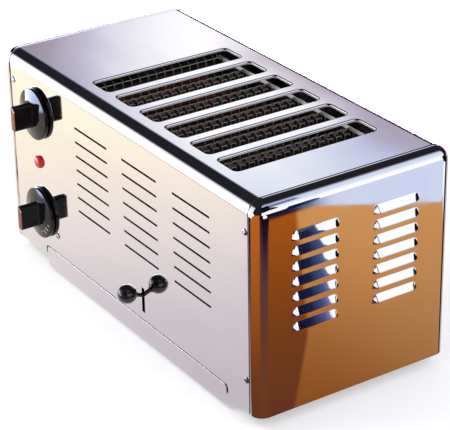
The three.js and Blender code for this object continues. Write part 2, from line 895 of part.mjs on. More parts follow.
// Least distance between the sections of a winding that aren't next to each other.
function leastGap(geometry) {
  const place = geometry.attributes.position;
  const sides = 4;
  const next = 2;
  const [a, b] = [new THREE.Vector3(), new THREE.Vector3()];
  let least = Infinity;
  for (let i = 0; i < place.count; i += 1) {
    a.fromBufferAttribute(place, i);
    for (let j = (Math.floor(i / sides) + next) * sides; j < place.count; j += 1) {
      least = Math.min(least, a.distanceTo(b.fromBufferAttribute(place, j)));
    }
  }
  return least;
}

// One upright ladder of wire on one side of an element.
function guardLadder(x) {
  const [y0, y1] = [frontPlateBack + touchGap, rearPlateY - touchGap];
  const pitch = (y1 - y0 - guardWire) / guardCells;
  const cells = [];
  for (let i = 0; i < guardCells; i += 1) {
    const from = y0 + guardWire + i * pitch;
    cells.push(block(
      x - guardWire, x + guardWire, from, from + pitch - guardWire,
      boardBottom + guardWire, guardTop - guardWire));
  }
  return cut(block(x - guardWire / 2, x + guardWire / 2, y0, y1, boardBottom, guardTop), cells);
}

// The guard of one element: a ladder on each side that bread stands on, joined over the board.
function elementGuard(i) {
  const x = boardX(i);
  const ladders = [];
  if (i > 0) ladders.push(guardLadder(x - guardOffset));
  if (i < slotCount) ladders.push(guardLadder(x + guardOffset));
  if (ladders.length < 2) return ladders[0];
  const [y0, y1] = [frontPlateBack + touchGap, rearPlateY - touchGap - guardWire];
  for (let k = 0; k < bridgeCount; k += 1) {
    const y = y0 + ((y1 - y0) * k) / (bridgeCount - 1);
    ladders.push(block(x - guardOffset, x + guardOffset, y, y + guardWire, guardTop - guardWire, guardTop));
  }
  return joined(ladders);
}

piece('element_plate_front', frontPlate(), platedFinish);
piece('element_plate_rear', rearPlate(), platedFinish);
piece('shield_left', shield(shieldLeftX), platedFinish);
piece('shield_right', shield(shieldRightX), platedFinish);
let least = Infinity;
for (let i = 0; i <= slotCount; i += 1) {
  const ribbon = winding(boardX(i));
  least = Math.min(least, leastGap(ribbon));
  piece(`element_board_${i + 1}`, elementBoard(boardX(i)), micaFinish);
  piece(`element_winding_${i + 1}`, geometryOf(solidOf(ribbon)), heaterFinish);
  piece(`element_guard_${i + 1}`, elementGuard(i), platedFinish);
}
console.log(`least gap of a winding to itself: ${least.toFixed(2)} mm`);

// Bread rack, lifted by the lever

function breadRack() {
  const solids = [];
  const half = postWidth / 2;
  const crossTop = crossBottom + crossHeight;
  for (const y of [crossFrontY, crossRearY]) {
    solids.push(block(
      chamberLeft - innerSheet - tongueReach, chamberRight + innerSheet + tongueReach,
      y - crossWidth / 2, y + crossWidth / 2, crossBottom, crossTop));
    for (let i = 0; i < slotCount; i += 1) {
      const x = slotCentre(i);
      solids.push(block(
        x - half, x + half, y - postDepth / 2, y + postDepth / 2,
        crossTop - crossHeight / 2, rackBarBottom + rackBarHeight / 2));
    }
  }
  for (let i = 0; i < slotCount; i += 1) {
    const x = slotCentre(i);
    solids.push(block(
      x - rackBarWidth / 2, x + rackBarWidth / 2, rackBarFront, rackBarRear,
      rackBarBottom, rackBarBottom + rackBarHeight));
  }
  solids.push(block(
    chamberX - half, chamberX + half, crossFrontY, crossRearY, crossBottom, crossTop));
  const heelBottom = pivotZ - armDroop + armWidth / 2 + touchGap;
  solids.push(block(
    chamberX - heelWidth / 2, chamberX + heelWidth / 2, crossRearY - crossWidth / 2,
    crossRearY + crossWidth / 2, heelBottom, crossBottom + crossHeight / 2));
  return joined(solids);
}

piece('bread_rack', breadRack(), platedFinish);

// Lever about its pivot

const leverAngle = Math.atan2(ballZ - pivotZ, pivotY + ballOut);
const leverReach = Math.hypot(ballZ - pivotZ, pivotY + ballOut);
const tipReach = crossRearY - pivotY + armTipOver;

function leverArm() {
  const bore = pinDiameter + 2 * touchGap;
  const hub = bar('x', hubDiameter, -hubWidth / 2, hubWidth / 2, 0, 0);
  const rod = new THREE.CylinderGeometry(armDiameter / 2, armDiameter / 2, leverReach - bore, pinSides);
  rod.translate(0, (leverReach + bore) / 2, 0);
  rod.rotateX(Math.PI - leverAngle);
  const half = armWidth / 2;
  const tail = new THREE.Shape([
    new THREE.Vector2(bore, -half),
    new THREE.Vector2(tipReach, -armDroop - half),
    new THREE.Vector2(tipReach, -armDroop + half),
    new THREE.Vector2(bore, half),
  ]);
  return joined([hub, solidOf(rod), alongX(tail, -half, half)])
    .subtract(bar('x', bore, -hubWidth, hubWidth, 0, 0, pinSides));
}

function leverBall() {
  const ball = new THREE.SphereGeometry(ballDiameter / 2, ballSides, ballRings);
  ball.rotateX(Math.PI / 2);
  const socket = new THREE.CylinderGeometry(
    armDiameter / 2 + touchGap, armDiameter / 2 + touchGap, ballDiameter, pinSides);
  socket.translate(0, -ballDiameter / 2 + touchGap, 0);
  socket.rotateX(Math.PI - leverAngle);
  return solidOf(ball).subtract(solidOf(socket));
}

function leverPin() {
  const half = hubWidth / 2 + hubClearance + earSheet;
  return joined([
    bar('x', pinDiameter, -half - touchGap, half + touchGap, 0, 0, pinSides),
    bar('x', pinHeadDiameter, half + touchGap, half + touchGap + pinHead, 0, 0, pinSides),
    bar('x', pinHeadDiameter, -half - touchGap - pinHead, -half - touchGap, 0, 0, pinSides),
  ]);
}

function leverBracket() {
  const inner = hubWidth / 2 + hubClearance;
  const outer = inner + earSheet;
  const [y0, y1] = [frontPlateBack + touchGap, rearPlateY - touchGap];
  const top = bracketBottom + earSheet;
  const strap = block(chamberX - outer, chamberX + outer, y0, y1, bracketBottom, top);
  const ear = (x0, x1) => block(
    x0, x1, pivotY - earWidth / 2, pivotY + earWidth / 2, bracketBottom, pivotZ + earTop);
  const hole = bar(
    'x', pinDiameter + 2 * touchGap, chamberX - 2 * outer, chamberX + 2 * outer,
    pivotY, pivotZ, pinSides);
  const ears = [ear(chamberX - outer, chamberX - inner), ear(chamberX + inner, chamberX + outer)];
  return cut(joined([strap, ...ears]), [hole]);
}

const lever = new THREE.Group();
lever.position.set(chamberX, pivotY, pivotZ);
toaster.add(lever);
piece('lever_arm', leverArm(), platedFinish, lever);
piece('lever_ball', leverBall(), blackFinish, lever)
  .position.set(0, -ballOut - pivotY, ballZ - pivotZ);
piece('lever_pin', leverPin(), platedFinish, lever);
piece('lever_bracket', leverBracket(), platedFinish);

// Mains inlet at the back, without its cord

function cableGland() {
  const radius = glandDiameter / 2;
  const neck = glandNeck / 2;
  const inside = -coverSheet;
  return turnedBack([
    [glandBore / 2, inside - glandNut],
    [radius, inside - glandNut],
    [radius, inside],
    [neck, inside],
    [neck, 0],
    [radius, 0],
    [radius, glandReach / 2],
    [neck, glandReach],
    [glandBore / 2, glandReach],
    [glandBore / 2, inside - glandNut],
  ], glandSides, glandX, depth, glandZ);
}

function terminalBlock() {
  const bottom = floorTop + touchGap;
  const top = bottom + terminalHeight;
  const body = block(
    glandX - terminalWidth / 2, glandX + terminalWidth / 2,
    terminalY, terminalY + terminalDepth, bottom, top);
  const cuts = [];
  for (let i = 0; i < terminalWays; i += 1) {
    const x = glandX + (i - (terminalWays - 1) / 2) * (terminalWidth / terminalWays);
    cuts.push(block(
      x - terminalCut / 2, x + terminalCut / 2, terminalY - overrun, terminalY + terminalDepth + overrun,
      top - terminalCut, top + overrun));
  }
  return cut(body, cuts);
}

piece('cable_gland', cableGland(), mattBlackFinish);
piece('terminal_block', terminalBlock(), creamFinish);

export default toaster;
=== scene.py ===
"""Looks of a six slot toaster in polished steel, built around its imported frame.

Shapes are worked out in millimetres in the part's own directions: X runs along
the length from the middle, Y runs back from the front panel, Z runs up from the
table. A mesh gets its place in the frame, in metres, when it is made. Patterns
and the studio are written in metres.
"""

from __future__ import annotations

import json
import logging
import math
import sys
from dataclasses import dataclass
from enum import Enum
from typing import Any, Sequence

import bmesh
import bpy
import numpy as np
from mathutils import Matrix, Quaternion, Vector

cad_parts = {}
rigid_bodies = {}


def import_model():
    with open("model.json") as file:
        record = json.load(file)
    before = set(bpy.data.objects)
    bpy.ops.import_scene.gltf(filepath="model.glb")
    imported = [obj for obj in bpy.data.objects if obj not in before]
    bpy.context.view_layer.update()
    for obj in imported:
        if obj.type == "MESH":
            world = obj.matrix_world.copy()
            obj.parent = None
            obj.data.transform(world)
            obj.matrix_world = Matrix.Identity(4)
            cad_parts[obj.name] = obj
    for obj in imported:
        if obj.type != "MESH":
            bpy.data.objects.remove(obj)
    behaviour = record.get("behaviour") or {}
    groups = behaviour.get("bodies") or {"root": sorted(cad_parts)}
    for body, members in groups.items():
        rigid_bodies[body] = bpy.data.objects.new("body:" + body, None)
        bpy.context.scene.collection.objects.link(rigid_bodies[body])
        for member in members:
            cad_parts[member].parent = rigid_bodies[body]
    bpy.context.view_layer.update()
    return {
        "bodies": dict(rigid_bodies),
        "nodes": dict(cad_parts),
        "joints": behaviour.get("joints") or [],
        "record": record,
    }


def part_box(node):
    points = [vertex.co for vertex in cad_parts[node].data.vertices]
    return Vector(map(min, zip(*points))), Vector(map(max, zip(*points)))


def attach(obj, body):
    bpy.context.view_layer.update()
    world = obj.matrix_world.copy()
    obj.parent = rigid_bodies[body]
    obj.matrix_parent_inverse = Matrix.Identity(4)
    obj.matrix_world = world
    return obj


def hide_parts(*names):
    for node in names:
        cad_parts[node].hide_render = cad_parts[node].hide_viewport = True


Array = np.ndarray
Colour = tuple[float, float, float]
Stops = Sequence[tuple[float, Colour]]

log = logging.getLogger("toaster")

MILLIMETRE = 0.001
# Points closer than this, in millimetres, become one
MERGE = 0.004
# Angle above which an edge is shaded as an edge
SHARP = math.radians(38)
# Length below which a direction counts as none
TINY = 1e-9
# Two sizes closer than this count as equal, and stations are rounded to these places
EQUAL = 1e-6
PLACES = 4


class Slot(Enum):
    """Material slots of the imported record."""

    STEEL = "polished_steel"
    PLATED = "plated_steel"
    GLOSS_BLACK = "black_plastic"
    MATT_BLACK = "matt_black_plastic"
    CREAM = "cream_plastic"
    RED = "red_plastic"
    RUBBER = "rubber"
    MICA = "mica"
    ALLOY = "heating_alloy"


class Body(Enum):
    """Moving bodies of the frame."""

    CHASSIS = "chassis"
    TRAY = "crumb_tray"
    TIMER = "timer_knob"
    SELECTOR = "selector_knob"
    LEVER = "lever"


def linear(red: int, green: int, blue: int) -> Colour:
    """Linear colour of a display colour, by the display standard's own curve.

    Args:
        red: red, up to 255.
        green: green, up to 255.
        blue: blue, up to 255.

    Returns:
        The three linear shares.
    """
    shown = np.array([red, green, blue], float) / 255
    low = shown / 12.92
    high = ((shown + 0.055) / 1.055) ** 2.4
    return tuple(float(v) for v in np.where(shown <= 0.04045, low, high))


def scaled(colour: Colour, share: float) -> Colour:
    """A colour with each part multiplied by one share."""
    return tuple(share * part for part in colour)


def link(thing: bpy.types.Object) -> None:
    """Puts an object into the scene."""
    bpy.context.scene.collection.objects.link(thing)


@dataclass(frozen=True)
class Casing:
    """Sizes of the casing, shared by the pieces that fit to it."""

    length: float = 460.0
    depth: float = 212.0
    height: float = 226.0
    stand: float = 15.0
    edge: float = 13.0
    # How far the end caps' rims stand out over the sheets
    proud: float = 0.8
    sheet: float = 1.2
    slot_middle: float = 34.5
    slot_pitch: float = 44.1
    slot_count: int = 6
    control_x: float = -164.0
    timer_z: float = 174.0
    selector_z: float = 63.5

    @property
    def centre(self) -> Array:
        """A point well inside the casing."""
        return np.array([0.0, self.depth / 2, self.height / 2])

    def slot_x(self, number: int) -> float:
        """Middle of one bread slot, counted from the left."""
        return self.slot_middle + (number - (self.slot_count - 1) / 2) * self.slot_pitch

    def board_x(self, number: int) -> float:
        """Middle of one heating board, counted from the left."""
        return self.slot_middle + (number - self.slot_count / 2) * self.slot_pitch

    def shoulders(self, steps: int) -> tuple[Array, Array]:
        """The two rolled corners of an end, as arcs in Y and Z about the rolled edges' middles.

        Args:
            steps: number of steps of each arc.

        Returns:
            The front corner from below, then the back corner from above.
        """
        radius = self.edge + self.proud
        level = self.height - self.edge
        front = arc(radius, 180, 90, steps) + np.array([self.edge, level])
        back = arc(radius, 90, 0, steps) + np.array([self.depth - self.edge, level])
        return front, back


CASING = Casing()


# Arrays of points


def arc(radius: float, start: float, end: float, steps: int) -> Array:
    """Points of an arc about the origin: radius times cosine and sine of evenly spread angles.

    Args:
        radius: radius of the arc.
        start: first angle, in degrees.
        end: last angle, in degrees.
        steps: number of steps between the two.

    Returns:
        Points as rows of two numbers.
    """
    angle = np.radians(np.linspace(start, end, steps + 1))
    return radius * np.stack([np.cos(angle), np.sin(angle)], -1)


def grid_faces(rows: int, columns: int, around: bool) -> Array:
    """Quads that join a grid of points, row by row.

    Args:
        rows: number of rows of points.
        columns: number of points in a row.
        around: whether a row's last point joins its first.

    Returns:
        Faces as an array of rows by columns by four.
    """
    i = np.arange(rows - 1)[:, None]
    j = np.arange(columns if around else columns - 1)[None, :]
    k = (j + 1) % columns
    corners = [i * columns + j, i * columns + k, (i + 1) * columns + k, (i + 1) * columns + j]
    return np.stack(np.broadcast_arrays(*corners), -1)


def tensor(first: Array, second: Array) -> tuple[Array, Array]:
    """Two arrays of a grid whose rows follow the first and columns the second."""
    return np.meshgrid(first, second, indexing="ij")


def offsets(base: Array, normal: Array, push: Array) -> Array:
    """An outline drawn once for each distance: the base plus its normal times the distance."""
    return base[None] + normal[None] * push[:, None, None]


def raised(plan: Array, height: Array) -> Array:
    """Rows of a plan at their own heights: (u, v) becomes (u, v, height of the row)."""
    third = np.broadcast_to(height[:, None, None], plan.shape[:2] + (1,))
    return np.concatenate([plan, third], -1)


def upright(plan: Array, depth: Array) -> Array:
    """Rows of a plan in X and Z at their own depths: (u, v) becomes (u, depth of the row, v)."""
    third = np.broadcast_to(depth[:, None], plan.shape[:2])
    return np.stack([plan[..., 0], third, plan[..., 1]], -1)


def rectangle(x0: float, x1: float, y0: float, y1: float) -> Array:
    """Corners of a rectangle, anticlockwise."""
    return np.array([[x0, y0], [x1, y0], [x1, y1], [x0, y1]])


def capped(rings: Array) -> Array:
    """Closes a loft of rings at both ends by a ring drawn in to its own mean point.

    Args:
        rings: rings by points by three.

    Returns:
        The rings with one more at each end.
    """
    middle = rings.mean(1, keepdims=True)
    ends = [np.broadcast_to(middle[k], (1,) + rings.shape[1:]) for k in (0, -1)]
    return np.concatenate([ends[0], rings, ends[1]])


def lathe(profile: Array, sides: int) -> Array:
    """A turned surface about +Z: each profile point (r, h) becomes r cos a, r sin a, h.

    Args:
        profile: rows of radius and height.
        sides: number of points round the axis.

    Returns:
        A grid of points, profile by angle, that closes on itself.
    """
    angle = np.linspace(0, 2 * np.pi, sides, endpoint=False)
    radius, turn = tensor(profile[:, 0], angle)
    height = np.broadcast_to(profile[:, 1:2], radius.shape)
    return np.stack([radius * np.cos(turn), radius * np.sin(turn), height], -1)


def facing(points: Array, direction: str, place: Sequence[float]) -> Array:
    """Turns a grid made about +Z to face another way and puts it in its place.

    Args:
        points: the grid.
        direction: one of -y, +y, +x or +z.
        place: where the grid's origin goes.

    Returns:
        The grid in its place.
    """
    x, y, z = points[..., 0], points[..., 1], points[..., 2]
    turned = {"-y": (x, -z, y), "+y": (x, z, y), "+x": (z, x, y), "+z": (x, y, z)}[direction]
    return np.stack(turned, -1) + np.array(place, float)


def tubes(paths: Array, radius: float, sides: int, across: Sequence[float]) -> Array:
    """Round wires: at each path point a circle spanned by `across` and the path's own normal.

    Args:
        paths: wires by stations by three; each wire lies in a plane square to `across`.
        radius: radius of the wire.
        sides: number of points round the wire.
        across: direction square to every path.

    Returns:
        Wires by stations by sides by three.
    """
    along = np.gradient(paths, axis=1)
    along /= np.maximum(np.linalg.norm(along, axis=-1, keepdims=True), TINY)
    second = np.broadcast_to(np.array(across, float), along.shape)
    first = np.cross(along, second)
    first /= np.maximum(np.linalg.norm(first, axis=-1, keepdims=True), TINY)
    angle = np.linspace(0, 2 * np.pi, sides, endpoint=False)[None, None, :, None]
    ring = np.cos(angle) * first[:, :, None, :] + np.sin(angle) * second[:, :, None, :]
    return paths[:, :, None, :] + radius * ring


def node_middle(name: str) -> Array:
    """Middle of a node's box, in millimetres in the part's own directions."""
    low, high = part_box(name)
    return (np.array(low) + np.array(high)) / 2 / MILLIMETRE - [0.0, FRONT_Y / MILLIMETRE, 0.0]


@dataclass(frozen=True)
class Ring:
    """A rounded rectangle as a closed path."""

    low: tuple[float, float]
    high: tuple[float, float]
    radius: float
    arc_steps: int = 8
    long_steps: int = 4
    short_steps: int = 1

    def corners(self) -> list[tuple[Array, float]]:
        """Centres of the corner arcs with their first angles, anticlockwise.

        Returns:
            Four pairs of a centre and an angle in degrees.
        """
        (u0, v0), (u1, v1), r = self.low, self.high, self.radius
        centres = [(u1 - r, v0 + r), (u1 - r, v1 - r), (u0 + r, v1 - r), (u0 + r, v0 + r)]
        return [(np.array(c), -90.0 + 90.0 * k) for k, c in enumerate(centres)]

    def outline(self) -> tuple[Array, Array]:
        """Points and outward directions, all round the path."""
        return self.stations((0.0, 1.0, 0.0, 1.0))[:2]

    def stations(self, frame: tuple[float, float, float, float]) -> tuple[Array, Array, Array]:
        """Points, outward directions and matched points of an outer rectangle, all round the path.

        Args:
            frame: low u, high u, low v and high v of the outer rectangle.

        Returns:
            Three arrays of rows of two numbers. A corner arc's first half is spread
            along the side before the frame's corner, its second half along the next.
        """
        u0, u1, v0, v1 = frame
        frame_corners = [np.array(c, float) for c in [(u1, v0), (u1, v1), (u0, v1), (u0, v0)]]
        points, normals, targets = [], [], []
        corners = self.corners()
        for k, (centre, start) in enumerate(corners):
            normal = arc(1.0, start, start + 90, self.arc_steps)
            share = np.linspace(0, 1, self.arc_steps + 1)[:, None]
            corner = frame_corners[k]
            across = k % 2
            first, last = corner.copy(), corner.copy()
            first[across] = centre[across]
            last[1 - across] = centre[1 - across]
            before = first + (corner - first) * 2 * share
            after = corner + (last - corner) * (2 * share - 1)
            points.append(centre + self.radius * normal)
            normals.append(normal)
            targets.append(np.where(share < 0.5, before, after))
            steps = self.long_steps if k % 2 == 0 else self.short_steps
            if steps > 1:
                following = corners[(k + 1) % 4][0]
                part = np.linspace(0, 1, steps + 1)[1:-1, None]
                normal = normal[-1]
                between = centre + (following - centre) * part
                side = between.copy()
                side[:, across] = corner[across]
                points.append(between + self.radius * normal)
                normals.append(np.broadcast_to(normal, between.shape))
                targets.append(side)
        return np.concatenate(points), np.concatenate(normals), np.concatenate(targets)


# Meshes


class Surface:
    """Grids of points gathered into one mesh."""

    def __init__(self) -> None:
        """Starts with nothing."""
        self._points: list[Array] = []
        self._faces: list[Array] = []
        self._count = 0

    def grid(self, points: Array, around: bool = False, keep: Array | None = None) -> Surface:
        """Adds one grid.

        Args:
            points: rows by columns by three.
            around: whether each row closes on itself.
            keep: which of the grid's quads are made, rows by columns.

        Returns:
            This surface.
        """
        rows, columns = points.shape[:2]
        faces = grid_faces(rows, columns, around) + self._count
        faces = faces[keep] if keep is not None else faces.reshape(-1, 4)
        self._points.append(points.reshape(-1, 3))
        self._faces.append(faces)
        self._count += rows * columns
        return self

    def grids(self, points: Array, around: bool = False) -> Surface:
        """Adds many grids of one size.

        Args:
            points: grids by rows by columns by three.
            around: whether each row closes on itself.

        Returns:
            This surface.
        """
        many, rows, columns = points.shape[:3]
        faces = grid_faces(rows, columns, around).reshape(1, -1, 4)
        offset = (np.arange(many) * rows * columns)[:, None, None] + self._count
        self._points.append(points.reshape(-1, 3))
        self._faces.append((faces + offset).reshape(-1, 4))
        self._count += many * rows * columns
        return self

    def mirrored(self) -> Surface:
        """Carries every point over to the other end: x becomes -x."""
        self._points = [points * np.array([-1.0, 1.0, 1.0]) for points in self._points]
        return self

    @staticmethod
    def _clean(mesh: bpy.types.Mesh, inside: Array | None) -> None:
        """Merges a mesh's doubles, points its faces outwards and puts it in the frame, in metres.

        Args:
            mesh: the mesh, in millimetres.
            inside: a point that an open surface faces away from.
        """
        shape = bmesh.new()
        shape.from_mesh(mesh)
        bmesh.ops.remove_doubles(shape, verts=shape.verts, dist=MERGE)
        bmesh.ops.dissolve_degenerate(shape, edges=shape.edges, dist=MERGE)
        bmesh.ops.recalc_face_normals(shape, faces=shape.faces)
        if inside is not None:
            origin = Vector(inside)
            facing_out = sum(
                f.calc_area() * f.normal.dot(f.calc_center_median() - origin) for f in shape.faces
            )
            if facing_out < 0:
                bmesh.ops.reverse_faces(shape, faces=shape.faces)
        shape.transform(Matrix.Translation((0.0, FRONT_Y, 0.0)) @ Matrix.Scale(MILLIMETRE, 4))
        shape.to_mesh(mesh)
        shape.free()

    @staticmethod
    def _thicken(piece: bpy.types.Object, wall: float) -> None:
        """Gives an open sheet its thickness on the inner side, and applies it.

        Args:
            piece: the sheet.
            wall: its thickness, in millimetres.
        """
        solid = piece.modifiers.new("wall", "SOLIDIFY")
        solid.thickness = wall * MILLIMETRE
        solid.offset = -1
        solid.use_even_offset = True
        bpy.context.view_layer.update()
        graph = bpy.context.evaluated_depsgraph_get()
        thick = bpy.data.meshes.new_from_object(piece.evaluated_get(graph))
        piece.modifiers.clear()
        open_sheet, piece.data = piece.data, thick
        thick.name = piece.name
        bpy.data.meshes.remove(open_sheet)

    def object(
        self,
        name: str,
        wall: float = 0.0,
        inside: Array | None = None,
        sharp: float = SHARP,
    ) -> bpy.types.Object:
        """Makes the mesh object, at the origin of the frame, in metres.

        Args:
            name: the piece's name.
            wall: thickness that the surface gets on its inner side, or 0 if it is closed.
            inside: a point that an open surface faces away from.
            sharp: angle above which an edge is shaded as an edge.

        Returns:
            The object, linked to the scene.
        """
        mesh = bpy.data.meshes.new(name)
        points, faces = np.concatenate(self._points), np.concatenate(self._faces)
        mesh.from_pydata(points.tolist(), [], faces.tolist())
        self._clean(mesh, inside)
        piece = bpy.data.objects.new(name, mesh)
        link(piece)
        if wall:
            self._thicken(piece, wall)
        polygons = piece.data.polygons
        polygons.foreach_set("use_smooth", np.ones(len(polygons), bool))
        piece.data.set_sharp_from_angle(angle=sharp)
        return piece


# Shader nodes


class Value:
    """A number in a shader, on which Python's operators add Math nodes."""

    def __init__(self, shader: Shader, socket: bpy.types.NodeSocket | None) -> None:
        """Wraps one output socket of the shader."""
        self.shader = shader
        self.socket = socket

    def _math(self, operation: str, first: Any, second: Any = 0.0) -> Value:
        """One Math node on two values."""
        return self.shader.node("ShaderNodeMath", {"operation": operation}, {0: first, 1: second})

    def __add__(self, other: Any) -> Value:
        """Sum."""
        return self._math("ADD", self, other)

    __radd__ = __add__

    def __sub__(self, other: Any) -> Value:
        """Difference."""
        return self._math("SUBTRACT", self, other)

    def __rsub__(self, other: Any) -> Value:
        """Difference from a number."""
        return self._math("SUBTRACT", other, self)

    def __mul__(self, other: Any) -> Value:
        """Product."""
        return self._math("MULTIPLY", self, other)

    __rmul__ = __mul__

    def __truediv__(self, other: Any) -> Value:
        """Quotient."""
        return self._math("DIVIDE", self, other)

    def __gt__(self, other: Any) -> Value:
        """1 where this is greater."""
        return self._math("GREATER_THAN", self, other)

    def __lt__(self, other: Any) -> Value:
        """1 where this is less."""
        return self._math("LESS_THAN", self, other)

    def size(self) -> Value:
        """Size without its sign."""
        return self._math("ABSOLUTE", self)

    def root(self) -> Value:
        """Square root."""
        return self._math("SQRT", self)

    def sine(self) -> Value:
        """Sine of an angle in radians."""
        return self._math("SINE", self)

    def fraction(self) -> Value:
        """What is left over the whole number below."""
        return self._math("FRACT", self)

    def angle(self, across: Value) -> Value:
        """Angle of the point that lies this far up and so far across, in radians."""
        return self._math("ARCTAN2", self, across)

    def at_least(self, least: float) -> Value:
        """This, or the least number where this is below it."""
        return self._math("MAXIMUM", self, least)

    def between(self, low: float, high: float) -> Value:
        """1 where this lies between two numbers."""
        return (self > low) * (self < high)

    def rise(self, start: float, end: float) -> Value:
        """0 up to `start`, 1 from `end`, and a smooth step between them.

        Args:
            start: where the step begins.
            end: where it ends.

        Returns:
            The step.
        """
        settings = {"interpolation_type": "SMOOTHSTEP", "clamp": True}
        inputs = {0: self, 1: start, 2: end, 3: 0.0, 4: 1.0}
        return self.shader.node("ShaderNodeMapRange", settings, inputs)


class Shader:
    """Builds the node tree of one material or world."""

    def __init__(self, tree: bpy.types.NodeTree) -> None:
        """Clears the tree."""
        self.tree = tree
        tree.nodes.clear()

    def node(
        self,
        kind: str,
        settings: dict[str, Any] | None = None,
        inputs: dict[Any, Any] | None = None,
        output: int | str = 0,
    ) -> Value:
        """Adds a node of any type.

        Args:
            kind: the node's type.
            settings: its properties, set first; `stops` are a ramp's positions and colours.
            inputs: values or links of its sockets, by name or number.
            output: the output that the returned value wraps.

        Returns:
            The chosen output.
        """
        made = self.tree.nodes.new(kind)
        for key, value in (settings or {}).items():
            if key == "stops":
                self._stops(made.color_ramp, value)
            else:
                setattr(made, key, value)
        for key, value in (inputs or {}).items():
            self._join(value, made.inputs[key])
        return Value(self, made.outputs[output] if len(made.outputs) else None)

    def _join(self, value: Any, socket: bpy.types.NodeSocket) -> None:
        """Links a value to a socket, or sets the socket's own number or colour.

        Args:
            value: a shader value, a colour, a vector or a number.
            socket: the input socket.
        """
        if isinstance(value, Value):
            self.tree.links.new(value.socket, socket)
        elif isinstance(value, (tuple, list)):
            size = len(socket.default_value)
            socket.default_value = (*value, 1.0)[:size]
        else:
            socket.default_value = value

    @staticmethod
    def _stops(ramp: bpy.types.ColorRamp, stops: Stops) -> None:
        """Sets the stops of a colour ramp.

        Args:
            ramp: the ramp.
            stops: positions with their colours.
        """
        while len(ramp.elements) > 1:
            ramp.elements.remove(ramp.elements[-1])
        ramp.elements[0].position, ramp.elements[0].color = stops[0][0], (*stops[0][1], 1.0)
        for position, colour in stops[1:]:
            ramp.elements.new(position).color = (*colour, 1.0)

    def parts(self, vector: Value) -> tuple[Value, ...]:
        """The three numbers of a vector."""
        first = self.node("ShaderNodeSeparateXYZ", {}, {0: vector})
        return tuple(Value(self, socket) for socket in first.socket.node.outputs)

    def place(self) -> tuple[Value, ...]:
        """The piece's own X, Y and Z in metres."""
        return self.parts(self.node("ShaderNodeTexCoord", output="Object"))

    def noise(
        self, scale: float, detail: float = 3.0, stretch: Sequence[float] = (1, 1, 1)
    ) -> Value:
        """Noise on the piece's own coordinates.

        Args:
            scale: how fine it is.
            detail: number of finer layers in it.
            stretch: factor on each coordinate; below 1 the noise is drawn out that way.

        Returns:
            The noise.
        """
        where = self.node("ShaderNodeTexCoord", output="Object")
        mapped = self.node("ShaderNodeMapping", {}, {"Vector": where, "Scale": tuple(stretch)})
        inputs = {"Vector": mapped, "Scale": scale, "Detail": detail}
        return self.node("ShaderNodeTexNoise", {}, inputs)

    def mix(self, share: Any, first: Any, second: Any) -> Value:
        """Colour that goes from the first to the second."""
        return self.node("ShaderNodeMix", {"data_type": "RGBA"}, {0: share, 6: first, 7: second}, 2)

    def ramp(self, share: Value, stops: Stops) -> Value:
        """Colour read from a list of stops."""
        return self.node("ShaderNodeValToRGB", {"stops": stops}, {0: share})

    def bump(self, height: Value, strength: float, distance: float) -> Value:
        """Normal bent by a height."""
        inputs = {"Strength": strength, "Distance": distance, "Height": height}
        return self.node("ShaderNodeBump", {}, inputs)

    def glow(self, colour: Any, strength: float) -> Value:
        """Light of its own."""
        return self.node("ShaderNodeEmission", {}, {"Color": colour, "Strength": strength})

    def ray(self, kind: str) -> Value:
        """1 for rays of one kind."""
        return self.node("ShaderNodeLightPath", output=kind)

    def surface(self, inputs: dict[str, Any]) -> None:
        """Ends a material in a Principled surface with these inputs."""
        self.end(self.node("ShaderNodeBsdfPrincipled", {}, inputs))

    def end(self, surface: Value, kind: str = "ShaderNodeOutputMaterial") -> None:
        """Ends the tree in an output."""
        self.node(kind, {}, {"Surface": surface})


def new_material(name: str) -> tuple[bpy.types.Material, Shader]:
    """A material with an empty node tree.

    Args:
        name: its name.

    Returns:
        The material and the shader that fills it.
    """
    material = bpy.data.materials.new(name)
    material.use_nodes = True
    return material, Shader(material.node_tree)


# Finishes


class Finish:
    """A finish: its name, and how its shader is filled."""

    name: str

    def material(self) -> bpy.types.Material:
        """Makes the material."""
        material, s = new_material(self.name)
        self.fill(s)
        return material

    def fill(self, s: Shader) -> None:
        """Fills the shader; each finish has its own way."""
        raise NotImplementedError


@dataclass(frozen=True)
class Polished(Finish):
    """Mirror polished steel sheet: slow waves from rolling, faint wiped streaks and fine grain."""

    name: str = "polished_steel"
    colour: Colour = (0.90, 0.90, 0.92)
    roughness: float = 0.045
    wave: float = 0.05
    streaks: Sequence[float] = (0.15, 1.0, 1.0)
    smear_dull: float = 0.035
    grain_dull: float = 0.025
    wiped: float = 0.94

    def fill(self, s: Shader) -> None:
        """Fills the shader.

        Args:
            s: the shader.
        """
        wave = s.noise(9.0, 1.0)
        grain = s.noise(900.0, 2.0, self.streaks)
        smear = s.noise(26.0, 4.0, self.streaks).rise(0.42, 0.72)
        dull = self.roughness + smear * self.smear_dull + grain * self.grain_dull
        tint = s.mix(smear * 0.5, self.colour, scaled(self.colour, self.wiped))
        bent = s.bump(wave + grain * 0.002, self.wave, 0.004)
        s.surface({"Base Color": tint, "Metallic": 1.0, "Roughness": dull, "Normal": bent})


@dataclass(frozen=True)
class Plated(Finish):
    """Plain plated steel: drawn grain along one direction and dull, darker patches."""

    name: str = "plated_steel"
    colour: Colour = (0.56, 0.57, 0.59)
    roughness: float = 0.3
    grain: Sequence[float] = (0.06, 1.0, 1.0)
    metal: float = 1.0
    patched: float = 0.7

    def fill(self, s: Shader) -> None:
        """Fills the shader.

        Args:
            s: the shader.
        """
        grain = s.noise(700.0, 3.0, self.grain)
        patch = s.noise(22.0, 4.0).rise(0.45, 0.75)
        colour = s.mix(patch * 0.45, self.colour, scaled(self.colour, self.patched))
        s.surface({
            "Base Color": colour,
            "Metallic": self.metal,
            "Roughness": self.roughness + grain * 0.12 + patch * 0.1,
            "Normal": s.bump(grain, 0.12, 0.0004),
        })


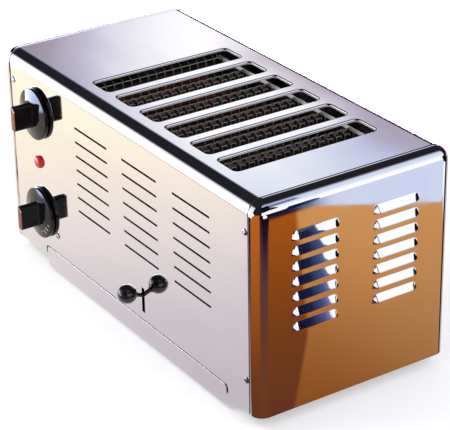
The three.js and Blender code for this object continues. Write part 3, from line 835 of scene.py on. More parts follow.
@dataclass(frozen=True)
class HeatTintAndShade(Finish):
    """Thin steel that has been hot: dark grey metal with brown and black tints, darker than heat
    tint alone, so partly heat tint and partly painted shade that keeps the inside of the casing
    dark.

    Where a height is given, the front face above it is pale and hardly metallic: a painted
    highlight where light falls on the plate's top edge.
    """

    name: str = "heat_tint_and_shade_steel"
    # Height above which the front face gets a painted highlight, a pale strip where light falls on
    # the top edge; 0 for none
    painted_lit_top: float = 0.0
    front: float = 0.1787
    # Colour of that painted highlight
    bright: Colour = (0.94, 0.94, 0.98)

    def fill(self, s: Shader) -> None:
        """Fills the shader.

        Args:
            s: the shader.
        """
        spread = s.noise(60.0, 4.0)
        # Dark tints: heat tint, made darker as painted shade for the inside of the casing
        tint = s.ramp(spread, [
            (0.35, (0.20, 0.19, 0.18)), (0.55, (0.11, 0.085, 0.065)), (0.75, (0.05, 0.03, 0.022)),
        ])
        share = 0.0
        # Painted highlight: a pale, hardly metallic strip along the top of the front face, standing
        # in for light on the plate's upper edge
        if self.painted_lit_top:
            _, y, z = s.place()
            share = (z - self.painted_lit_top).rise(-0.0008, 0.0004) * (y - FRONT_Y < self.front)
            tint = s.mix(share, tint, self.bright)
        s.surface({
            "Base Color": tint,
            "Metallic": 1.0 - share * 0.9,
            "Roughness": 0.34 + spread * 0.2,
        })


@dataclass(frozen=True)
class Moulded(Finish):
    """Moulded plastic with a little unevenness in its colour and a fine skin."""

    name: str
    colour: Colour
    roughness: float
    skin: float = 0.05
    coat: float = 0.0

    def fill(self, s: Shader) -> None:
        """Fills the shader.

        Args:
            s: the shader.
        """
        cloud = s.noise(45.0, 4.0)
        fine = s.noise(1400.0, 2.0)
        wear = s.noise(160.0, 5.0).rise(0.6, 0.78)
        worn = tuple(min(1.0, 1.5 * part + 0.01) for part in self.colour)
        s.surface({
            "Base Color": s.mix(cloud * 0.35 + wear * 0.25, self.colour, worn),
            "Roughness": self.roughness + wear * 0.12 + cloud * 0.03,
            "Normal": s.bump(fine, self.skin, 0.0003),
            "Coat Weight": self.coat,
            "Coat Roughness": 0.04,
        })


@dataclass(frozen=True)
class DialPlastic(Finish):
    """Glossy black of one knob, with a warm brown painted reflection on the end of its grip, its
    mark and its scale's ticks.

    Lengths are in metres: `up` and `across` from the knob's axis, `reach` from the panel.

    Attributes:
        ticks: number of ticks that would go round the whole skirt, or 0 for none.
        shift: turn, in ticks, that keeps the count positive and a tick's middle at its half.
        tick_half: half a tick's width, in ticks.
        tick_radius: radii between which a tick runs.
        tick_up: heights between which ticks are printed.
        tick_reach: reaches between which ticks are printed.
        grip_reach: reach from which the grip's end starts.
        grip_radius: radius inside which the grip's end lies.
        warm_up: height below which the grip's end carries the warm painted reflection.
        mark_slope: slope of the mark across the grip's end.
        shine_reach: reaches over which the clear shine fades.
    """

    name: str
    centre_z: float
    ticks: int
    shift: float = 100.5
    tick_half: float = 0.085
    tick_radius: tuple[float, float] = (0.0185, 0.0235)
    tick_up: tuple[float, float] = (-0.0185, -0.006)
    tick_reach: tuple[float, float] = (0.0048, 0.0078)
    grip_reach: float = 0.0266
    grip_radius: float = 0.0135
    warm_up: float = 0.0095
    # Colour of the painted reflection: a warm brown standing in for an orange table mirrored in the
    # grip's end
    warm: Colour = linear(142, 92, 68)
    mark_slope: float = 0.55
    mark_up: float = 0.0105
    mark_half: float = 0.0006
    print_colour: Colour = (0.78, 0.77, 0.74)
    shine_reach: tuple[float, float] = (0.0074, 0.0084)

    def _ticks(self, across: Value, up: Value, radius: Value, reach: Value) -> Value:
        """The printed ticks: the angle about the axis, counted in ticks, close to a whole one.

        Args:
            across: distance to the right of the axis.
            up: height over the axis.
            radius: distance from the axis.
            reach: distance from the panel.

        Returns:
            1 on a tick.
        """
        turn = up.angle(across) * (self.ticks / (2 * math.pi)) + self.shift
        near = (turn.fraction() - 0.5).size() < self.tick_half
        tick = near * radius.between(*self.tick_radius) * reach.between(*self.tick_reach)
        return tick * up.between(*self.tick_up) * (across > 0.0)

    def fill(self, s: Shader) -> None:
        """Fills the shader.

        Args:
            s: the shader.
        """
        x, y, z = s.place()
        across = x - CASING.control_x * MILLIMETRE
        up = z - self.centre_z
        radius = (across * across + up * up).root()
        reach = FRONT_Y - y
        end = (reach > self.grip_reach) * (radius < self.grip_radius)
        paint = end * ((across * self.mark_slope + up - self.mark_up).size() < self.mark_half)
        if self.ticks:
            paint = paint + self._ticks(across, up, radius, reach)
        cloud = s.noise(60.0, 4.0)
        wear = s.noise(240.0, 5.0).rise(0.6, 0.8)
        black = s.mix(cloud, (0.003, 0.003, 0.004), (0.008, 0.008, 0.009))
        # Painted reflection: the grip's end, below a height, takes the warm brown
        grip = s.mix(end * (up < self.warm_up), black, self.warm)
        s.surface({
            "Base Color": s.mix(paint, grip, self.print_colour),
            "Roughness": 0.07 + wear * 0.10 + paint * 0.25 + end * 0.2,
            "Normal": s.bump(s.noise(1600.0, 2.0), 0.03, 0.0003),
            "Specular IOR Level": 0.2,
            "Coat Weight": (1.0 - reach.rise(*self.shine_reach)) * 0.25,
            "Coat Roughness": 0.05,
        })


@dataclass(frozen=True)
class LampPlastic(Finish):
    """Clear red lens with fine prisms round it."""

    name: str = "lamp_red"
    centre_z: float = 0.1205
    prisms: float = 24.0

    def fill(self, s: Shader) -> None:
        """Fills the shader.

        Args:
            s: the shader.
        """
        x, _, z = s.place()
        across = x - CASING.control_x * MILLIMETRE
        ribs = ((z - self.centre_z).angle(across) * self.prisms).sine()
        cloud = s.noise(300.0, 3.0)
        s.surface({
            "Base Color": s.mix(cloud, linear(184, 18, 10), linear(224, 44, 24)),
            "Roughness": 0.14,
            "Normal": s.bump(ribs * 0.5 + cloud * 0.3, 0.25, 0.0003),
            "Subsurface Weight": 0.15,
            "Subsurface Scale": 0.003,
            "Coat Weight": 0.25,
            "Coat Roughness": 0.04,
        })


@dataclass(frozen=True)
class MicaSheet(Finish):
    """Pressed mica: brown flakes in layers, burnt in clouds."""

    name: str = "mica_sheet"

    def fill(self, s: Shader) -> None:
        """Fills the shader.

        Args:
            s: the shader.
        """
        flake = s.noise(180.0, 5.0, (1.0, 0.6, 1.0))
        burnt = s.noise(30.0, 3.0)
        colour = s.ramp(flake, [
            (0.3, (0.010, 0.007, 0.006)), (0.55, (0.028, 0.018, 0.014)), (0.8, (0.06, 0.042, 0.03)),
        ])
        s.surface({
            "Base Color": s.mix(burnt * 0.5, colour, (0.02, 0.006, 0.005)),
            "Roughness": 0.45 + flake * 0.2,
            "Normal": s.bump(flake, 0.3, 0.0004),
        })


@dataclass(frozen=True)
class HeatingAlloy(Finish):
    """Resistance ribbon, oxidised to a red brown with darker and paler scale."""

    name: str = "heating_alloy"

    def fill(self, s: Shader) -> None:
        """Fills the shader.

        Args:
            s: the shader.
        """
        scale = s.noise(120.0, 4.0)
        s.surface({
            "Base Color": s.ramp(scale, [
                (0.3, linear(78, 26, 18)), (0.55, linear(150, 66, 44)), (0.8, linear(206, 112, 78)),
            ]),
            "Metallic": 0.55,
            "Roughness": 0.35 + scale * 0.25,
            "Normal": s.bump(scale, 0.2, 0.0003),
        })


@dataclass(frozen=True)
class FootRubber(Finish):
    """Dull black rubber with dust in its skin."""

    name: str = "foot_rubber"

    def fill(self, s: Shader) -> None:
        """Fills the shader.

        Args:
            s: the shader.
        """
        dust = s.noise(220.0, 5.0).rise(0.45, 0.8)
        s.surface({
            "Base Color": s.mix(dust, (0.012, 0.012, 0.012), (0.05, 0.048, 0.045)),
            "Roughness": 0.72 + dust * 0.15,
            "Normal": s.bump(s.noise(900.0, 3.0), 0.2, 0.0003),
        })


class Finishes:
    """One material for each finish, made once."""

    def __init__(self) -> None:
        """Makes them all."""
        level, even = (0.12, 1.0, 1.0), (1, 1, 1)
        self.steel = Polished().material()
        self.panel = Polished("panel_steel", streaks=level, wave=0.03).material()
        self.upright = Polished(
            "end_steel", roughness=0.02, streaks=(1.0, 1.0, 0.15), wave=0.03).material()
        self.plated = Plated().material()
        self.screw = Plated("bright_screw", (0.46, 0.46, 0.47), 0.2, even).material()
        self.wire = Plated("tinned_wire", (0.56, 0.51, 0.48), 0.3, even, 0.75).material()
        self.collar = Plated(
            "satin_collar", (0.84, 0.84, 0.83), 0.42, (1, 1, 0.1), 0.35).material()
        self.rod = Plated("dark_rod", (0.075, 0.068, 0.062), 0.26, (1, 0.1, 1)).material()
        # Plates and shields inside the casing: heat tint, darkened as painted shade
        self.heat_tint_and_shade = HeatTintAndShade().material()
        # The rear plate, with a painted highlight along the top of its front face
        self.painted_lit_plate = HeatTintAndShade("heated_plate_painted_highlight", painted_lit_top=0.2122).material()
        self.matt = Moulded("matt_black", (0.012, 0.012, 0.012), 0.5, 0.25).material()
        self.gloss = Moulded("gloss_black", (0.006, 0.006, 0.007), 0.1, 0.02, 0.6).material()
        self.cream = Moulded("cream_mould", (0.62, 0.57, 0.47), 0.42, 0.15).material()
        self.timer = DialPlastic("timer_dial", CASING.timer_z * MILLIMETRE, 0).material()
        self.selector = DialPlastic(
            "selector_dial", CASING.selector_z * MILLIMETRE, 22).material()
        self.lamp = LampPlastic().material()
        self.mica = MicaSheet().material()
        self.alloy = HeatingAlloy().material()
        self.rubber = FootRubber().material()


class Maker:
    """Puts a finished piece into the scene: dresses it, lets it ride and hides what it replaces."""

    def __init__(self, frame: dict[str, Any], finishes: Finishes) -> None:
        """Keeps the frame and the finishes."""
        self.nodes: dict[str, bpy.types.Object] = frame["nodes"]
        self.finishes = finishes
        self.dressed: set[str] = set()

    def named(self, start: str) -> list[str]:
        """Names of the frame's nodes that start in one way, in order."""
        return [name for name in sorted(self.nodes) if name.startswith(start)]

    def add(
        self,
        piece: bpy.types.Object,
        material: bpy.types.Material,
        body: Body,
        slot: Slot,
        *replaced: str,
    ) -> None:
        """Finishes one new piece.

        Args:
            piece: the new object.
            material: what it is made of.
            body: the body that it moves with.
            slot: the record's slot that it belongs to; not used.
            replaced: nodes of the frame that it stands for.
        """
        piece.data.materials.clear()
        piece.data.materials.append(material)
        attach(piece, body.value)
        if replaced:
            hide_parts(*replaced)
            self.dressed.update(replaced)
        stands_for = ", ".join(replaced) or "detail"
        log.info("%s: %d faces, for %s", piece.name, len(piece.data.polygons), stands_for)

    def keep(self, material: bpy.types.Material, slot: Slot, *names: str) -> None:
        """Dresses nodes of the frame that stay as they are.

        Args:
            material: what they are made of.
            slot: the record's slot of that material; not used.
            names: the nodes.
        """
        for name in names:
            node = self.nodes[name]
            node.data.materials.clear()
            node.data.materials.append(material)
            self.dressed.add(name)
            log.info("%s: kept", name)


# Sub-assemblies


@dataclass
class TopCover:
    """The top sheet with its two rolled edges, and the collars of its six bread slots.

    Attributes:
        cell_front: Y at which the slots' grid starts.
        lip: radius at which a slot's edge is turned down.
        margin: flat strip that is kept round a lip.
        collar: depth of a collar's lower edge under the sheet.
        hem: width of the first strip at the sheet's ends and beside its rolls.
        wide_x: X of a station in the plain part at the left.
        skirt: how far the sheet goes on below its rolls, behind the panels.
        tuck: Y and height of the fold from each roll to that skirt.
    """

    half: float = 215.2
    slot_half: float = 16.0
    slot_front: float = 25.0
    slot_back: float = 181.0
    slot_radius: float = 5.0
    cell_front: float = 19.0
    cell_back: float = 187.0
    lip: float = 1.5
    margin: float = 0.3
    collar: float = 2.9
    collar_sheet: float = 0.9
    collar_gap: float = 0.02
    hem: float = 0.4
    wide_x: float = -167.6
    skirt: float = 8.0
    tuck: tuple[tuple[float, float], ...] = ((1.5, -0.6), (1.2, -0.25), (0.25, -0.12))
    roll_steps: int = 14
    lip_steps: int = 8

    def _ring(self, number: int) -> Ring:
        """Outline of one slot."""
        low, high = CASING.slot_x(number) - self.slot_half, CASING.slot_x(number) + self.slot_half
        return Ring((low, self.slot_front), (high, self.slot_back), self.slot_radius)

    def _cell(self, number: int) -> tuple[Array, Array]:
        """One slot's cell, from the cell's border down to where its collar starts.

        Each row is the slot's outline pushed out by a distance and set at a height: flat
        sheet, then a quarter bend of radius `lip`.

        Args:
            number: the slot, counted from the left.

        Returns:
            The grid of points, and the border's points in X and Y.
        """
        x, reach = CASING.slot_x(number), CASING.slot_pitch / 2
        frame = (x - reach, x + reach, self.cell_front, self.cell_back)
        base, normal, border = self._ring(number).stations(frame)
        bend = arc(self.lip, 90, 180, self.lip_steps) + self.lip
        push = np.concatenate([[self.lip + self.margin], bend[:, 0]])
        drop = np.concatenate([[0.0, 0.0], self.lip * 2 - bend[:, 1]])
        plan = np.concatenate([border[None], offsets(base, normal, push)])
        return raised(plan, CASING.height - drop), border

    def _collars(self) -> bpy.types.Object:
        """The collars: each slot's outline as a thin wall from under the lip to its lower edge.

        Returns:
            All six as one piece.
        """
        surface = Surface()
        top = CASING.height - self.lip - self.collar_gap
        low, sheet, break_edge = CASING.height - self.collar, self.collar_sheet, 0.2
        push = np.array([0.0, 0.0, break_edge, sheet, sheet, 0.0])
        rise = np.array([top, low + break_edge, low, low, top, top])
        for number in range(CASING.slot_count):
            base, normal = self._ring(number).outline()
            surface.grid(raised(offsets(base, normal, push), rise), around=True)
        return surface.object("slot_collars")

    def _level(self, surface: Surface, xs: Array, ys: Array) -> None:
        """Adds a flat part of the sheet, with stations along the length and from front to back."""
        x, y = tensor(xs, ys)
        surface.grid(np.stack([x, y, np.full_like(x, CASING.height)], -1))

    def _rolls(self, surface: Surface, xs: Array) -> None:
        """Adds the two long edges: a skirt, a fold and a quarter bend of the casing's radius.

        Args:
            surface: what they are added to.
            xs: their stations along the length.
        """
        edge = CASING.edge
        low = CASING.height - edge
        bend = arc(edge, 180, 90, self.roll_steps) + np.array([edge, low])
        fold = [[self.tuck[0][0], low - self.skirt]] + [[y, low + z] for y, z in self.tuck]
        level = [[edge + self.hem, CASING.height], [self.cell_front, CASING.height]]
        side = np.concatenate([fold, bend, level])
        for front in (True, False):
            ys = side[:, 0] if front else CASING.depth - side[:, 0]
            x, y = tensor(xs, ys)
            _, z = tensor(xs, side[:, 1])
            surface.grid(np.stack([x, y, z], -1))

    def build(self, make: Maker) -> None:
        """Builds the cover: slot cells, plain strips round them, and the rolled edges.

        Args:
            make: puts the pieces into the scene.
        """
        surface = Surface()
        across: list[Array] = []
        for number in range(CASING.slot_count):
            cell, border = self._cell(number)
            surface.grid(cell, around=True)
            across.append(border[np.abs(border[:, 1] - self.cell_front) < EQUAL, 0])
        middle = np.unique(np.round(np.concatenate(across), PLACES))
        last_column = np.abs(border[:, 0] - border[:, 0].max()) < EQUAL
        along = np.unique(np.round(border[last_column, 1], PLACES))
        left = np.array([-self.half, -self.half + self.hem, self.wide_x, middle[0]])
        right = np.array([middle[-1], self.half - self.hem, self.half])
        xs = np.unique(np.concatenate([left, middle, right]))
        self._level(surface, left, along)
        self._level(surface, right, along)
        self._rolls(surface, xs)
        self._level(surface, xs, np.array([self.cell_back, CASING.depth - self.cell_front]))
        piece = surface.object("cover_sheet", CASING.sheet, CASING.centre)
        make.add(piece, make.finishes.steel, Body.CHASSIS, Slot.STEEL, "top_cover")
        make.add(self._collars(), make.finishes.collar, Body.CHASSIS, Slot.STEEL)


@dataclass
class EndCap:
    """An end sheet with rolled edges, a bright rim, a stepped flange and two columns of louvres.

    Attributes:
        roll: radius of the bend from the face to the rim.
        rim: distance of the rim's edge from the middle of the casing.
        rim_fold: how far the rim's edge turns in, along and across, in two steps.
        groove: depth of the flange under the rim.
        flange: distance of the flange's inner edge from the middle of the casing.
        frame_inset: width of the face's border outside its grid.
        hem: width of the border's strip beside the bend.
        louvre_ys: Y of the two columns' middles.
        louvre_end: length of a louvre's rounded end.
        louvre_reach: how far a lip stands out.
        lip_round: share of the height over which a hood levels off to its lip.
        mouth: depth under a lip at which the face is open.
        end_angles: angles at which a rounded end has stations.
        row_steps: heights of a louvre's stations over its lip.
        waist: height of a station in the plain part below.
    """

    roll: float = 12.0
    rim: float = 217.2
    rim_fold: tuple[tuple[float, float], ...] = ((0.0, 0.0), (0.15, 0.6))
    groove: float = 2.3
    flange: float = 203.2
    frame_inset: float = 14.5
    hem: float = 0.4
    sheet: float = 1.0
    corner_steps: int = 12
    louvre_ys: tuple[float, float] = (60.5, 149.0)
    louvre_half: float = 25.5
    louvre_end: float = 5.8
    louvre_height: float = 8.5
    louvre_reach: float = 2.9
    lip_round: float = 0.2
    louvre_top: float = 184.5
    louvre_pitch: float = 15.0
    louvre_rows: int = 7
    mouth: float = 0.15
    end_angles: tuple[float, ...] = (0, 12, 24, 36, 48, 58, 68, 78, 90)
    row_steps: tuple[float, ...] = (
        -1.0, -0.3, 0.0, 0.4, 0.9, 1.5, 2.8, 4.4, 5.9, 7.1, 8.2, 8.5, 8.8)
    waist: float = 55.0
    sharp: float = 50.0

    @property
    def lips(self) -> Array:
        """Heights of the louvres' lips, from the top."""
        return self.louvre_top - self.louvre_pitch * np.arange(self.louvre_rows)

    def _stations(self) -> tuple[Array, Array]:
        """Stations of the face's grid, closer together over each louvre.

        Returns:
            Their Y and their Z.
        """
        ends = self.louvre_half - self.louvre_end
        beyond = ends + self.louvre_end * np.sin(np.radians(self.end_angles))
        flat = [0.0, ends * 0.6, ends - 0.6]
        half = np.concatenate([flat, beyond, [self.louvre_half + self.hem]])
        steps = np.concatenate([-half[::-1], half[1:]])
        ys = np.concatenate([y + steps for y in self.louvre_ys])
        low = -CASING.proud + self.frame_inset
        high = CASING.depth + CASING.proud - self.frame_inset
        zs = (self.lips[:, None] + np.array(self.row_steps)).ravel()
        top = CASING.height + CASING.proud - self.frame_inset
        zs = np.concatenate([[CASING.stand, CASING.stand + 0.5, self.waist], zs, [top]])
        return np.unique(np.concatenate([[low], ys, [high]])), np.unique(np.round(zs, PLACES))

    def _hoods(self, y: Array, z: Array) -> Array:
        """How far the face stands out: 0 round each louvre, rising evenly to its open lower lip.

        The depth into a louvre is 1 less the distance from its lip, measured by an ellipse at
        its two ends. The reach grows evenly with the depth and levels off close to the lip.

        Args:
            y: Y of the face's points.
            z: their Z.

        Returns:
            Distances, shaped like the points.
        """
        reach = np.zeros_like(y)
        ends = self.louvre_half - self.louvre_end
        for centre in self.louvre_ys:
            for lip in self.lips:
                side = np.maximum(np.abs(y - centre) - ends, 0) / self.louvre_end
                rise = (z - lip) / self.louvre_height
                depth = np.clip(1 - np.hypot(side, rise), 0, 1)
                depth[z < lip - 0.05] = 0
                level = np.maximum(depth - 1 + self.lip_round, 0)
                reach += self.louvre_reach * (depth - level * level / (2 * self.lip_round))
        return reach

    def _face(self, ys: Array, zs: Array) -> tuple[Array, Array]:
        """The flat face with its hoods, open in a narrow strip under each lip.

        Args:
            ys: Y of its stations.
            zs: Z of its stations.

        Returns:
            The grid, and which of its quads are made.
        """
        y, z = tensor(ys, zs)
        middle_y, middle_z = (ys[:-1] + ys[1:]) / 2, (zs[:-1] + zs[1:]) / 2
        open_y = np.any([np.abs(middle_y - c) < self.louvre_half for c in self.louvre_ys], axis=0)
        open_z = np.any([np.abs(middle_z - (lip - self.mouth)) < 0.1 for lip in self.lips], axis=0)
        grid = np.stack([CASING.length / 2 + self._hoods(y, z), y, z], -1)
        return grid, ~(open_y[:, None] & open_z[None, :])

    def _path(self, ys: Array, zs: Array) -> tuple[Array, Array]:
        """The rim's path up the front, over the top and down the back, one point per station.

        Args:
            ys: Y of the face's stations.
            zs: Z of the face's stations.

        Returns:
            Its points and its outward directions, in Y and Z.
        """
        first, second = CASING.shoulders(self.corner_steps)
        proud = CASING.proud
        top = np.stack([ys, np.full_like(ys, CASING.height + proud)], -1)
        front = np.stack([np.full_like(zs, -proud), zs], -1)
        back = np.stack([np.full_like(zs, CASING.depth + proud), zs], -1)[::-1]
        normal = [
            np.tile([-1.0, 0.0], (len(zs), 1)), arc(1.0, 180, 90, self.corner_steps),
            np.tile([0.0, 1.0], (len(ys), 1)), arc(1.0, 90, 0, self.corner_steps),
            np.tile([1.0, 0.0], (len(zs), 1)),
        ]
        return np.concatenate([front, first, top, second, back]), np.concatenate(normal)

    def _shell(self, ys: Array, zs: Array) -> Array:
        """Bend, rim, step and flange: the rim's path drawn in by a distance for each X.

        Args:
            ys: Y of the face's stations.
            zs: Z of the face's stations.

        Returns:
            The grid, from the face's border to the flange's edge.
        """
        path, normal = self._path(ys, zs)
        border = np.clip(path, [ys[0], -np.inf], [ys[-1], zs[-1]])
        bend = arc(self.roll, 90, 0, self.corner_steps)[::-1]
        end = CASING.length / 2
        (edge_x, edge_in), (fold_x, fold_in) = self.rim_fold
        out = np.concatenate([
            [end, end], end - self.roll + bend[:, 0],
            [self.rim - edge_x, self.rim - fold_x, self.rim - 0.5, self.flange],
        ])
        push = np.concatenate([
            [self.roll + self.hem], self.roll - bend[:, 1],
            [edge_in, fold_in, self.groove, self.groove],
        ])
        plan = np.concatenate([border[None], offsets(path, normal, -push)])
        out_x = np.broadcast_to(out[:, None, None], plan.shape[:2] + (1,))
        return np.concatenate([out_x, plan], -1)

    def build(self, make: Maker, name: str, node: str, mirrored: bool) -> None:
        """Builds one end cap.

        Args:
            make: puts the piece into the scene.
            name: the piece's name.
            node: the node of the frame that it replaces.
            mirrored: whether it is the left one.
        """
        ys, zs = self._stations()
        face, keep = self._face(ys, zs)
        surface = Surface().grid(face, keep=keep).grid(self._shell(ys, zs))
        if mirrored:
            surface.mirrored()
        piece = surface.object(name, self.sheet, CASING.centre, math.radians(self.sharp))
        make.add(piece, make.finishes.upright, Body.CHASSIS, Slot.STEEL, node)


@dataclass
class SeamStrip:
    """A thin strip that fills the seam between an end cap and the sheets beside it. Made in matt
    black, as at the right end, it is painted shade: a dark strip put where the seam lies in shade.
    """

    outer: float = 217.02
    lap: float = 214.55
    inner: float = 215.4
    root: float = 216.6
    level: float = 0.3
    foot: float = 2.2
    seat: float = 0.47
    steps: int = 12

    def _section(self) -> Array:
        """The strip's section, all round.

        Returns:
            Rows of distance from the middle of the casing and depth under the cap's rim.
        """
        top, seat = self.level, self.level + self.seat
        return np.array([
            [self.lap, seat], [self.lap + 0.05, top + 0.2], [self.lap + 0.3, top + 0.02],
            [self.outer - 0.3, top], [self.outer, top + 0.2], [self.root + 0.1, self.foot],
            [self.inner, self.foot], [self.inner, seat],
        ])

    def build(
        self, make: Maker, name: str, sign: int, material: bpy.types.Material, slot: Slot
    ) -> None:
        """Builds one strip: its section swept up the front, over the top and down the back.

        Args:
            make: puts the piece into the scene.
            name: the piece's name.
            sign: 1 for the right end, -1 for the left.
            material: what it is made of.
            slot: the record's slot of that material.
        """
        start = CASING.stand + 0.6
        first, second = CASING.shoulders(self.steps)
        front, back = [[-CASING.proud, start]], [[CASING.depth + CASING.proud, start]]
        path = np.concatenate([front, first, second, back])
        corner = np.linspace(180, 90, self.steps + 1)
        turn = np.radians(np.concatenate([[180.0], corner, corner - 90, [0.0]]))
        normal = np.stack([np.cos(turn), np.sin(turn)], -1)
        section = self._section()
        plan = path[:, None] - normal[:, None] * section[None, :, 1:]
        across = np.broadcast_to(sign * section[None, :, :1], plan.shape[:2] + (1,))
        shell = capped(np.concatenate([across, plan], -1))
        make.add(Surface().grid(shell, around=True).object(name), material, Body.CHASSIS, slot)


@dataclass
class Knob:
    """A round skirt with a sloping face and a tall grip across it."""

    radius: float = 27.0
    face: float = 15.0
    gap: float = 1.0
    rim: float = 5.0
    dome: float = 7.2
    reach: float = 27.2
    grip_half_width: float = 4.0
    grip_half_height: float = 13.0
    grip_radius: float = 2.4
    grip_round: float = 1.1
    sides: int = 72

    def _skirt(self) -> Array:
        """The skirt's profile: flat back, rounded rim, sloping face, flat middle.

        Returns:
            Rows of radius and reach.
        """
        low = arc(0.8, -90, 0, 4) + np.array([self.radius - 0.8, self.gap + 0.8])
        high = arc(0.9, 0, 72, 7) + np.array([self.radius - 0.9, self.rim - 0.9])
        back = [[0.0, self.gap], [self.radius - 6, self.gap]]
        slope = [[self.face + 1.2, self.dome - 0.35], [self.face, self.dome]]
        middle = [[self.face - 0.8, self.dome], [0.0, self.dome]]
        return np.concatenate([back, low, high, slope, middle])

    def _grip(self, x: float, z: float) -> Array:
        """The grip as rounded rectangles that flare into the skirt and round off at the end.

        Args:
            x: X of the knob's axis.
            z: its height.

        Returns:
            The closed grid.
        """
        wide, tall = self.grip_half_width, self.grip_half_height
        ring = Ring((x - wide, z - tall), (x + wide, z + tall), self.grip_radius, 6, 2, 2)
        end = arc(self.grip_round, 0, 90, 5)
        reach = np.concatenate([
            self.dome + np.array([-1.5, 0.0, 0.5, 1.6]), [self.reach - 6],
            self.reach - self.grip_round + end[:, 1],
        ])
        inset = np.concatenate([[-0.9, -0.9, -0.35, 0.0, 0.0], self.grip_round - end[:, 0]])
        base, normal = ring.outline()
        return capped(upright(offsets(base, normal, -inset), -reach))

    def build(
        self, make: Maker, name: str, body: Body, z: float, material: bpy.types.Material
    ) -> None:
        """Builds one knob on its axis.

        Args:
            make: puts the piece into the scene.
            name: name of the knob's node.
            body: the body that turns with it.
            z: height of its axis.
            material: its plastic.
        """
        x = CASING.control_x
        skirt = facing(lathe(self._skirt(), self.sides), "-y", (x, 0.0, z))
        surface = Surface().grid(skirt, around=True).grid(self._grip(x, z), around=True)
        piece = surface.object(f"{name}_moulding", sharp=math.radians(45))
        make.add(piece, material, body, Slot.GLOSS_BLACK, name)


@dataclass
class SignalLamp:
    """The domed lens of the lamp with its collar."""

    radius: float = 7.0
    dome: float = 4.6
    rise: float = 1.5
    stem: float = 4.5
    root: float = 2.7
    z: float = 120.48

    def build(self, make: Maker) -> None:
        """Builds the lens: stem, short collar, then a dome along a quarter ellipse.

        Args:
            make: puts the piece into the scene.
        """
        quarter = arc(1.0, 0, 90, 9)
        dome = quarter * [self.radius - 0.4, self.dome - self.rise] + [0.0, self.rise]
        start = [
            [0.0, -self.root], [self.stem, -self.root], [self.stem, 0.0], [self.radius, 0.0],
            [self.radius, 1.2],
        ]
        turned = lathe(np.concatenate([start, dome]), 40)
        grid = facing(turned, "-y", (CASING.control_x, 0.0, self.z))
        piece = Surface().grid(grid, around=True).object("signal_lens")
        make.add(piece, make.finishes.lamp, Body.CHASSIS, Slot.RED, "lamp_lens")


@dataclass
class Lever:
    """The lift lever: a round arm, its hub on the pin, its tail under the rack, and the ball."""

    pivot: tuple[float, float, float] = (34.5, 44.0, 38.0)
    ball: tuple[float, float, float] = (34.5, -17.4, 61.4)
    ball_radius: float = 9.5
    collar_radius: float = 2.3
    arm_radius: float = 2.1
    hub_radius: float = 4.5
    hub_half: float = 3.0
    bore: float = 1.8
    tail_start: float = 3.2
    tail_middle: float = 60.0
    tail_end: float = 148.0
    tail_drop: float = 3.5
    tail_half: float = 2.0

    def _along(self, profile: Array, sides: int, origin: Array) -> Array:
        """A surface turned about the line from the pivot to the ball.

        Args:
            profile: rows of radius and distance along the line.
            sides: number of points round it.
            origin: where the distances start.

        Returns:
            The grid.
        """
        along = np.array(self.ball) - np.array(self.pivot)
        along /= np.linalg.norm(along)
        side = np.array([1.0, 0.0, 0.0])
        up = np.cross(side, along)
        grid = lathe(profile, sides)
        return origin + grid[..., 0:1] * side + grid[..., 1:2] * up + grid[..., 2:3] * along

    def _ball(self) -> Array:
        """The ball with its collar, turned about the arm's line.

        Returns:
            The grid.
        """
        radius, hole = self.ball_radius, self.collar_radius
        start = -math.degrees(math.asin((radius - 0.9) / radius))
        sphere = np.maximum(arc(radius, start, 90, 22), [0.0, -radius])
        collar = [
            [hole, 2.0 - radius], [hole, -radius - 0.6], [hole + 0.8, -radius - 0.6],
            [hole + 1.1, -radius + 0.5],
        ]
        return self._along(np.concatenate([collar, sphere]), 48, np.array(self.ball))

    def _hub(self) -> Array:
        """The hub with its bore, turned about the pin.

        Returns:
            The closed grid.
        """
        half, hole = self.hub_half, self.bore
        edge = arc(0.5, -90, 0, 3) + np.array([self.hub_radius - 0.5, -half + 0.5])
        profile = [[[hole, -half]], edge, edge[::-1] * [1, -1], [[hole, half], [hole, -half]]]
        return facing(lathe(np.concatenate(profile), 32), "+x", self.pivot)

    def _tail(self) -> Array:
        """The tail: a square bar that falls evenly from the hub to its end.

        Returns:
            The closed grid.
        """
        x, y, z = self.pivot
        tail_y = np.array([y + self.tail_start, y + self.tail_middle, self.tail_end])
        drop = np.interp(tail_y, tail_y[[0, -1]], [0.0, -self.tail_drop])
        corner = self.tail_half * np.array([[-1, -1], [1, -1], [1, 1], [-1, 1]], float)
        bar_x, bar_z = x + corner[:, 0], z + drop[:, None] + corner[:, 1]
        bar = np.broadcast_arrays(bar_x, tail_y[:, None], bar_z)
        return capped(np.stack(bar, -1))

    def build(self, make: Maker) -> None:
        """Builds the ball, and the arm with hub and tail.

        Args:
            make: puts the pieces into the scene.
        """
        ball = Surface().grid(self._ball(), around=True)
        ball_piece = ball.object("lever_grip_ball", sharp=math.radians(60))
        make.add(ball_piece, make.finishes.gloss, Body.LEVER, Slot.GLOSS_BLACK, "lever_ball")
        pivot = np.array(self.pivot)
        reach = np.linalg.norm(np.array(self.ball) - pivot)
        start, end = self.hub_radius - 1, reach - self.ball_radius + 2.5
        radius = self.arm_radius
        rod = np.array([[0.0, start], [radius, start], [radius, end], [0.0, end]])
        arm = Surface().grid(self._along(rod, 24, pivot), around=True)
        arm.grid(self._hub(), around=True).grid(self._tail(), around=True)
        make.add(arm.object("lever_rod"), make.finishes.rod, Body.LEVER, Slot.PLATED, "lever_arm")


